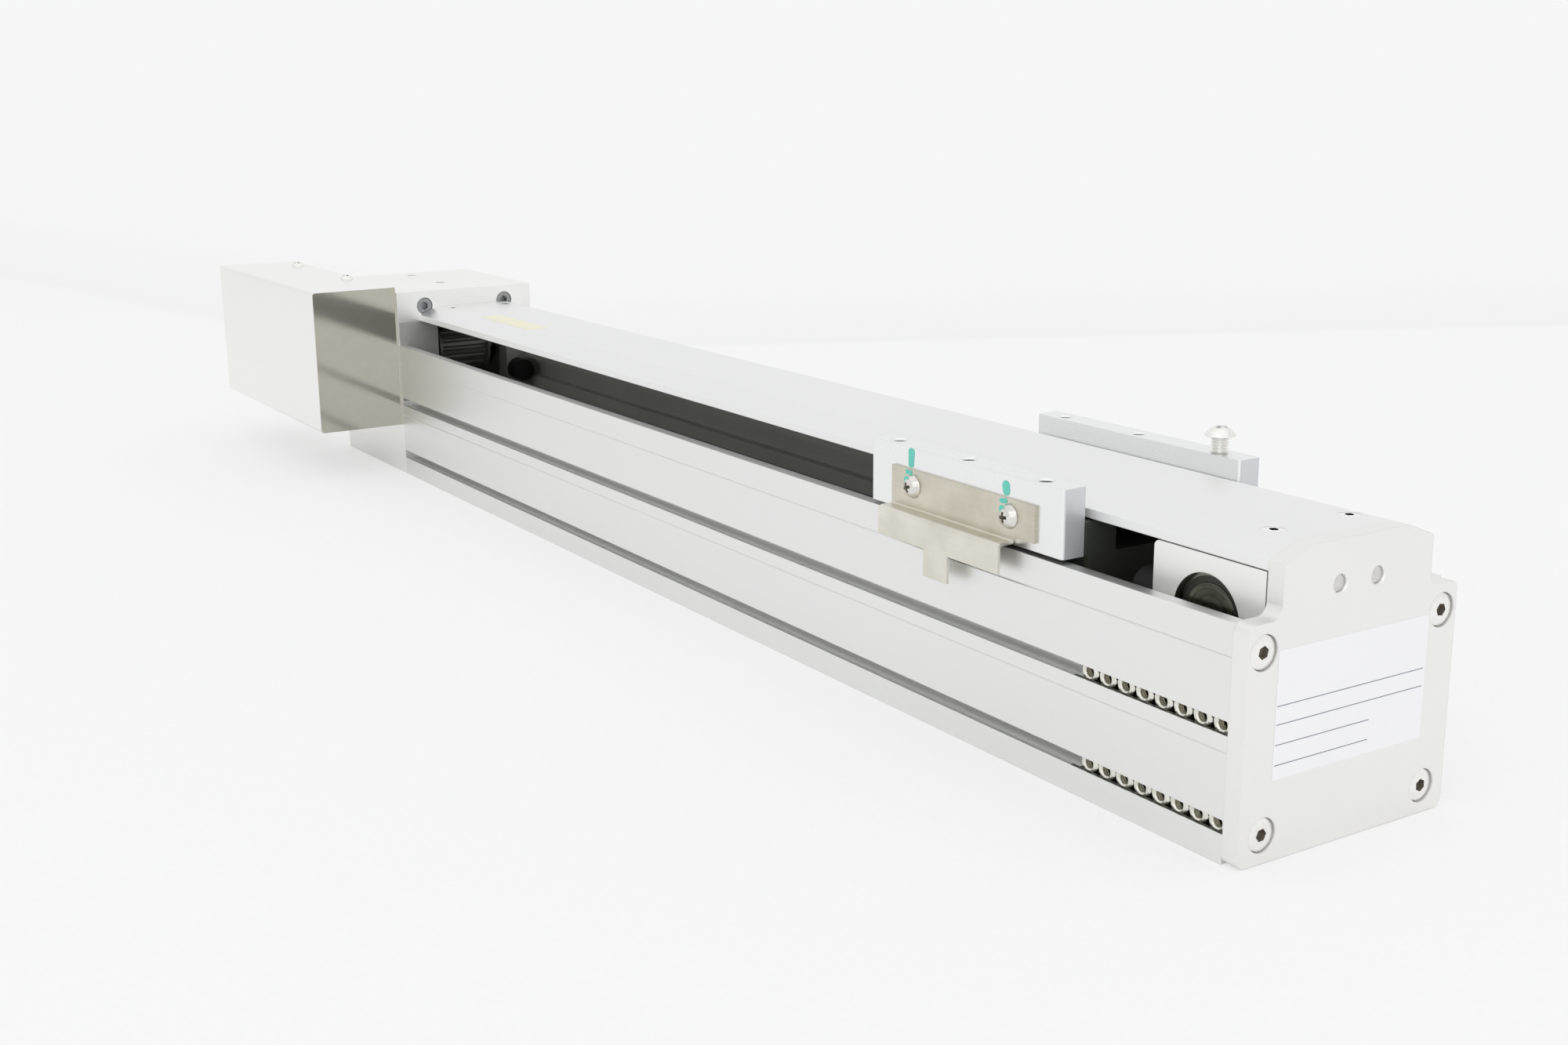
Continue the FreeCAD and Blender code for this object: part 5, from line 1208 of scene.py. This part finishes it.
    def _paint_marks(self) -> None:
        """Paints a broken line from the block over the flag's plate to each screw."""
        block_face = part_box("side_block_left")[0].y / MM
        plate_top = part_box("sensor_flag")[1].z / MM
        plate_face = block_face - self.flag_sheet
        inwards, out, up = self.on_head
        strokes = []
        for (x, _, z), line in zip(self._flag_places(), self.lines):
            middle = plate_top + self.block_gap + line.block[1] / 2
            strokes.append(self._stroke((x + line.shift, block_face, middle), line.block, line.lean))
            on_plate = (x + line.shift, plate_face, plate_top - self.plate_drop)
            strokes.append(self._stroke(on_plate, line.plate, line.lean))
            over = (x + line.shift * inwards, plate_face - self.flag_screw.height * out,
                    z + self.flag_screw.head * up)
            strokes.append(self._stroke(over, line.head, line.lean))
        piece = self.dressed("paint_marks", strokes, Palette.PAINT, smooth=60.0)
        add(piece, CARRIAGE, "screw_steel")


# Studio


@dataclass(frozen=True)
class Lamp:
    """A square soft lamp that points at a target.

    Args:
        name: The lamp's name.
        at: Its place, in metres.
        target: The point that it faces.
        size: Its side, in metres.
        power: Its power, in watts.
    """

    name: str
    at: Place
    target: Place
    size: float
    power: float

    def add(self) -> None:
        """Hangs the lamp in the scene."""
        data = bpy.data.lights.new(self.name, "AREA")
        data.size = self.size
        data.energy = self.power
        lamp = bpy.data.objects.new(self.name, data)
        lamp.location = self.at
        lamp.rotation_euler = (Vector(self.target) - Vector(self.at)).to_track_quat("-Z", "Y").to_euler()
        bpy.context.scene.collection.objects.link(lamp)


@dataclass
class Studio:
    """The pale floor and backdrop, the soft lamps and the camera, in metres and degrees.

    Args:
        camera_at: The camera's place.
        yaw: How far the camera looks from -X towards +Y.
        pitch: The camera's tilt, below zero where it looks down.
        roll: The camera's turn about its own line of sight.
        focal_pixels: The focal length in pixels of the photograph.
        photo_width: The photograph's width in pixels.
        sensor: The sensor's width in millimetres.
        clip: The nearest and farthest distance that the camera sees.
        floor_level: The floor's height, a hair under the object.
        floor_colour: The floor's colour in the light that reaches the object.
        seen_floor: The part of the floor's colour that the camera sees shaded.
        seen_glow: The part that it sees unshaded.
        gloss_glow: What reflections see beside the floor's lit colour.
        foam: The waves per metre of the floor's faint mottling.
        foam_shade: The mottling's darker colour.
        edge_blur: Half the width of the blur at the table's edges.
        table_edges: A point and a direction of each edge of the pale table.
        backdrop: Places across the backdrop and its brightness there, as shares.
        backdrop_depth: How far past the edge the last of them lies.
        sky: The world's colour.
        seen_sky: The world's strength to the camera and in reflections.
        fill: The world's strength as light.
        reach: Half the floor's side.
        lamps: The lamps.
    """

    camera_at: Place = (0.64683, -0.40169, 0.21939)
    yaw: float = 32.384
    pitch: float = -14.028
    roll: float = -0.476
    focal_pixels: float = 2364.08
    photo_width: float = 2000.0
    sensor: float = 36.0
    clip: tuple[float, float] = (0.01, 20.0)
    floor_level: float = -0.0002
    floor_colour: Colour = (0.90, 0.90, 0.90)
    seen_floor: Colour = (0.45, 0.45, 0.45)
    seen_glow: float = 0.51
    gloss_glow: float = 0.13
    foam: float = 420.0
    foam_shade: Colour = (0.975, 0.977, 0.98)
    edge_blur: float = 0.012
    table_edges: tuple[tuple[Place, Place], ...] = (((-0.576, 0.413, 0.0), (0.276, 0.560, 0.0)),
                                                    ((-1.122, 0.030, 0.0), (0.373, 0.070, 0.0)))
    backdrop: tuple[tuple[float, float], ...] = ((0.0, 0.925), (0.22, 0.97), (1.0, 0.975))
    backdrop_depth: float = 2.0
    sky: Colour = (0.955, 0.957, 0.957)
    seen_sky: float = 0.975
    fill: float = 0.89
    reach: float = 12.0
    lamps: tuple[Lamp, ...] = (Lamp("top_lamp", (0.5, -0.3, 1.8), (0.0, 0.0, 0.0), 3.2, 5.0),
                               Lamp("front_lamp", (1.7, -1.4, 1.2), (0.1, 0.0, 0.05), 2.2, 5.8))

    def build(self) -> None:
        """Sets up everything that isn't the object."""
        self._floor()
        self._world()
        for lamp in self.lamps:
            lamp.add()
        self._camera()
        bpy.context.scene.view_settings.view_transform = "Standard"

    @staticmethod
    def _seen(graph: Graph, *kinds: str) -> Socket:
        """Gives 1 on some kinds of ray and 0 on the others.

        Args:
            graph: The material or world that asks.
            *kinds: The kinds of ray, as Light Path names them.

        Returns:
            The mask.
        """
        path = graph.node("ShaderNodeLightPath")
        seen = path.outputs[kinds[0]]
        for kind in kinds[1:]:
            seen = graph.math("MAXIMUM", seen, path.outputs[kind])
        return seen

    def _floor(self) -> None:
        """Lays a large flat floor, nearly white to the camera, with the object's soft shadow."""
        sheet = bmesh.new()
        bmesh.ops.create_grid(sheet, x_segments=1, y_segments=1, size=self.reach)
        bmesh.ops.translate(sheet, verts=sheet.verts, vec=(0.0, 0.0, self.floor_level))
        floor = Shapes.piece("floor", sheet)
        material = bpy.data.materials.new("studio_floor")
        material.use_nodes = True
        graph = Graph(material.node_tree)
        place = graph.node("ShaderNodeTexCoord").outputs["Object"]
        foam = graph.noise(place, (self.foam,) * 3, 2.0)
        white = graph.ramp(foam, (DARK, self.foam_shade), (PALE, (1.0, 1.0, 1.0)))
        lit = graph.node("ShaderNodeBsdfDiffuse", {"Color": (*self.floor_colour, 1.0)})
        shown = graph.node("ShaderNodeBsdfDiffuse", {"Color": (*self.seen_floor, 1.0)})
        glow = graph.node("ShaderNodeEmission", {"Color": white, "Strength": self.seen_glow})
        table = graph.node("ShaderNodeAddShader", {0: shown.outputs[0], 1: glow.outputs[0]})
        beyond = graph.node("ShaderNodeEmission", {"Color": self._backdrop(graph, place), "Strength": 1.0})
        edge = graph.node("ShaderNodeMapRange", {"Value": self._past_edge(graph, place),
                                                 "From Min": -self.edge_blur, "From Max": self.edge_blur})
        view = graph.node("ShaderNodeMixShader", {"Fac": edge.outputs["Result"], 1: table.outputs[0],
                                                  2: beyond.outputs[0]})
        mirrored = self._seen(graph, "Is Glossy Ray", "Is Transmission Ray")
        strength = graph.math("MULTIPLY", mirrored, self.gloss_glow)
        sheen = graph.node("ShaderNodeEmission", {"Color": (1.0, 1.0, 1.0, 1.0), "Strength": strength})
        others = graph.node("ShaderNodeAddShader", {0: lit.outputs[0], 1: sheen.outputs[0]})
        camera = self._seen(graph, "Is Camera Ray")
        whole = graph.node("ShaderNodeMixShader", {"Fac": camera, 1: others.outputs[0], 2: view.outputs[0]})
        output = material.node_tree.nodes["Material Output"]
        material.node_tree.links.new(whole.outputs[0], output.inputs["Surface"])
        floor.data.materials.append(material)

    def _past_edge(self, graph: Graph, place: Socket) -> Socket:
        """Works out how far a point of the floor lies past both edges of the pale table.

        Args:
            graph: The floor's material.
            place: The Object coordinates.

        Returns:
            The distance in metres, below zero on the table.
        """
        sides = []
        for point, along in self.table_edges:
            outward = Vector((-along[1], along[0], 0)).normalized()
            reach = graph.vector("DOT_PRODUCT", place, tuple(outward)).outputs["Value"]
            sides.append(graph.math("SUBTRACT", reach, outward.dot(Vector(point))))
        return graph.math("MINIMUM", sides[0], sides[1])

    def _backdrop(self, graph: Graph, place: Socket) -> Socket:
        """Colours the backdrop, a little darker next to the table than far behind it.

        Args:
            graph: The floor's material.
            place: The Object coordinates.

        Returns:
            The colour.
        """
        share = graph.node("ShaderNodeMapRange", {"Value": self._past_edge(graph, place),
                                                  "From Max": self.backdrop_depth})
        stops = [(at, tuple(value * level for value in self.sky)) for at, level in self.backdrop]
        return graph.ramp(share.outputs["Result"], *stops)

    def _world(self) -> None:
        """Sets a pale world that looks white to the camera and to reflections, and lights softly."""
        world = bpy.data.worlds.new("studio_world")
        world.use_nodes = True
        graph = Graph(world.node_tree)
        lit = world.node_tree.nodes["Background"]
        lit.inputs["Color"].default_value = (*self.sky, 1.0)
        lit.inputs["Strength"].default_value = self.fill
        seen = graph.node("ShaderNodeBackground", {"Color": (*self.sky, 1.0), "Strength": self.seen_sky})
        either = self._seen(graph, "Is Camera Ray", "Is Glossy Ray", "Is Transmission Ray")
        mix = graph.node("ShaderNodeMixShader", {"Fac": either, 1: lit.outputs[0], 2: seen.outputs[0]})
        output = world.node_tree.nodes["World Output"]
        world.node_tree.links.new(mix.outputs["Shader"], output.inputs["Surface"])
        bpy.context.scene.world = world

    def _camera(self) -> None:
        """Places the camera by the yaw, pitch and roll that the photograph's edges give."""
        yaw, pitch, roll = (math.radians(angle) for angle in (self.yaw, self.pitch, self.roll))
        forward = Vector((-math.cos(yaw) * math.cos(pitch), math.sin(yaw) * math.cos(pitch), math.sin(pitch)))
        level = forward.cross(Vector((0, 0, 1))).normalized()
        upright = level.cross(forward)
        right = math.cos(roll) * level + math.sin(roll) * upright
        up = math.cos(roll) * upright - math.sin(roll) * level
        data = bpy.data.cameras.new("camera")
        data.sensor_width = self.sensor
        data.lens = self.sensor * self.focal_pixels / self.photo_width
        data.clip_start, data.clip_end = self.clip
        camera = bpy.data.objects.new("camera", data)
        turn = Matrix((right, up, -forward)).transposed().to_4x4()
        camera.matrix_world = Matrix.Translation(self.camera_at) @ turn
        bpy.context.scene.collection.objects.link(camera)
        bpy.context.scene.camera = camera


def main() -> None:
    """Builds the studio and dresses every sub-assembly in order."""
    logging.basicConfig(level=logging.INFO, format="%(name)s: %(message)s")
    palette = Palette()
    Studio().build()
    for assembly in (BaseFrame, Drive, Carriage, EndScrews, CoverScrews, SlotNuts, EndLabel):
        assembly(palette).build()
        LOG.info("%s is dressed", assembly.__name__)


if __name__ == "__main__":
    main()
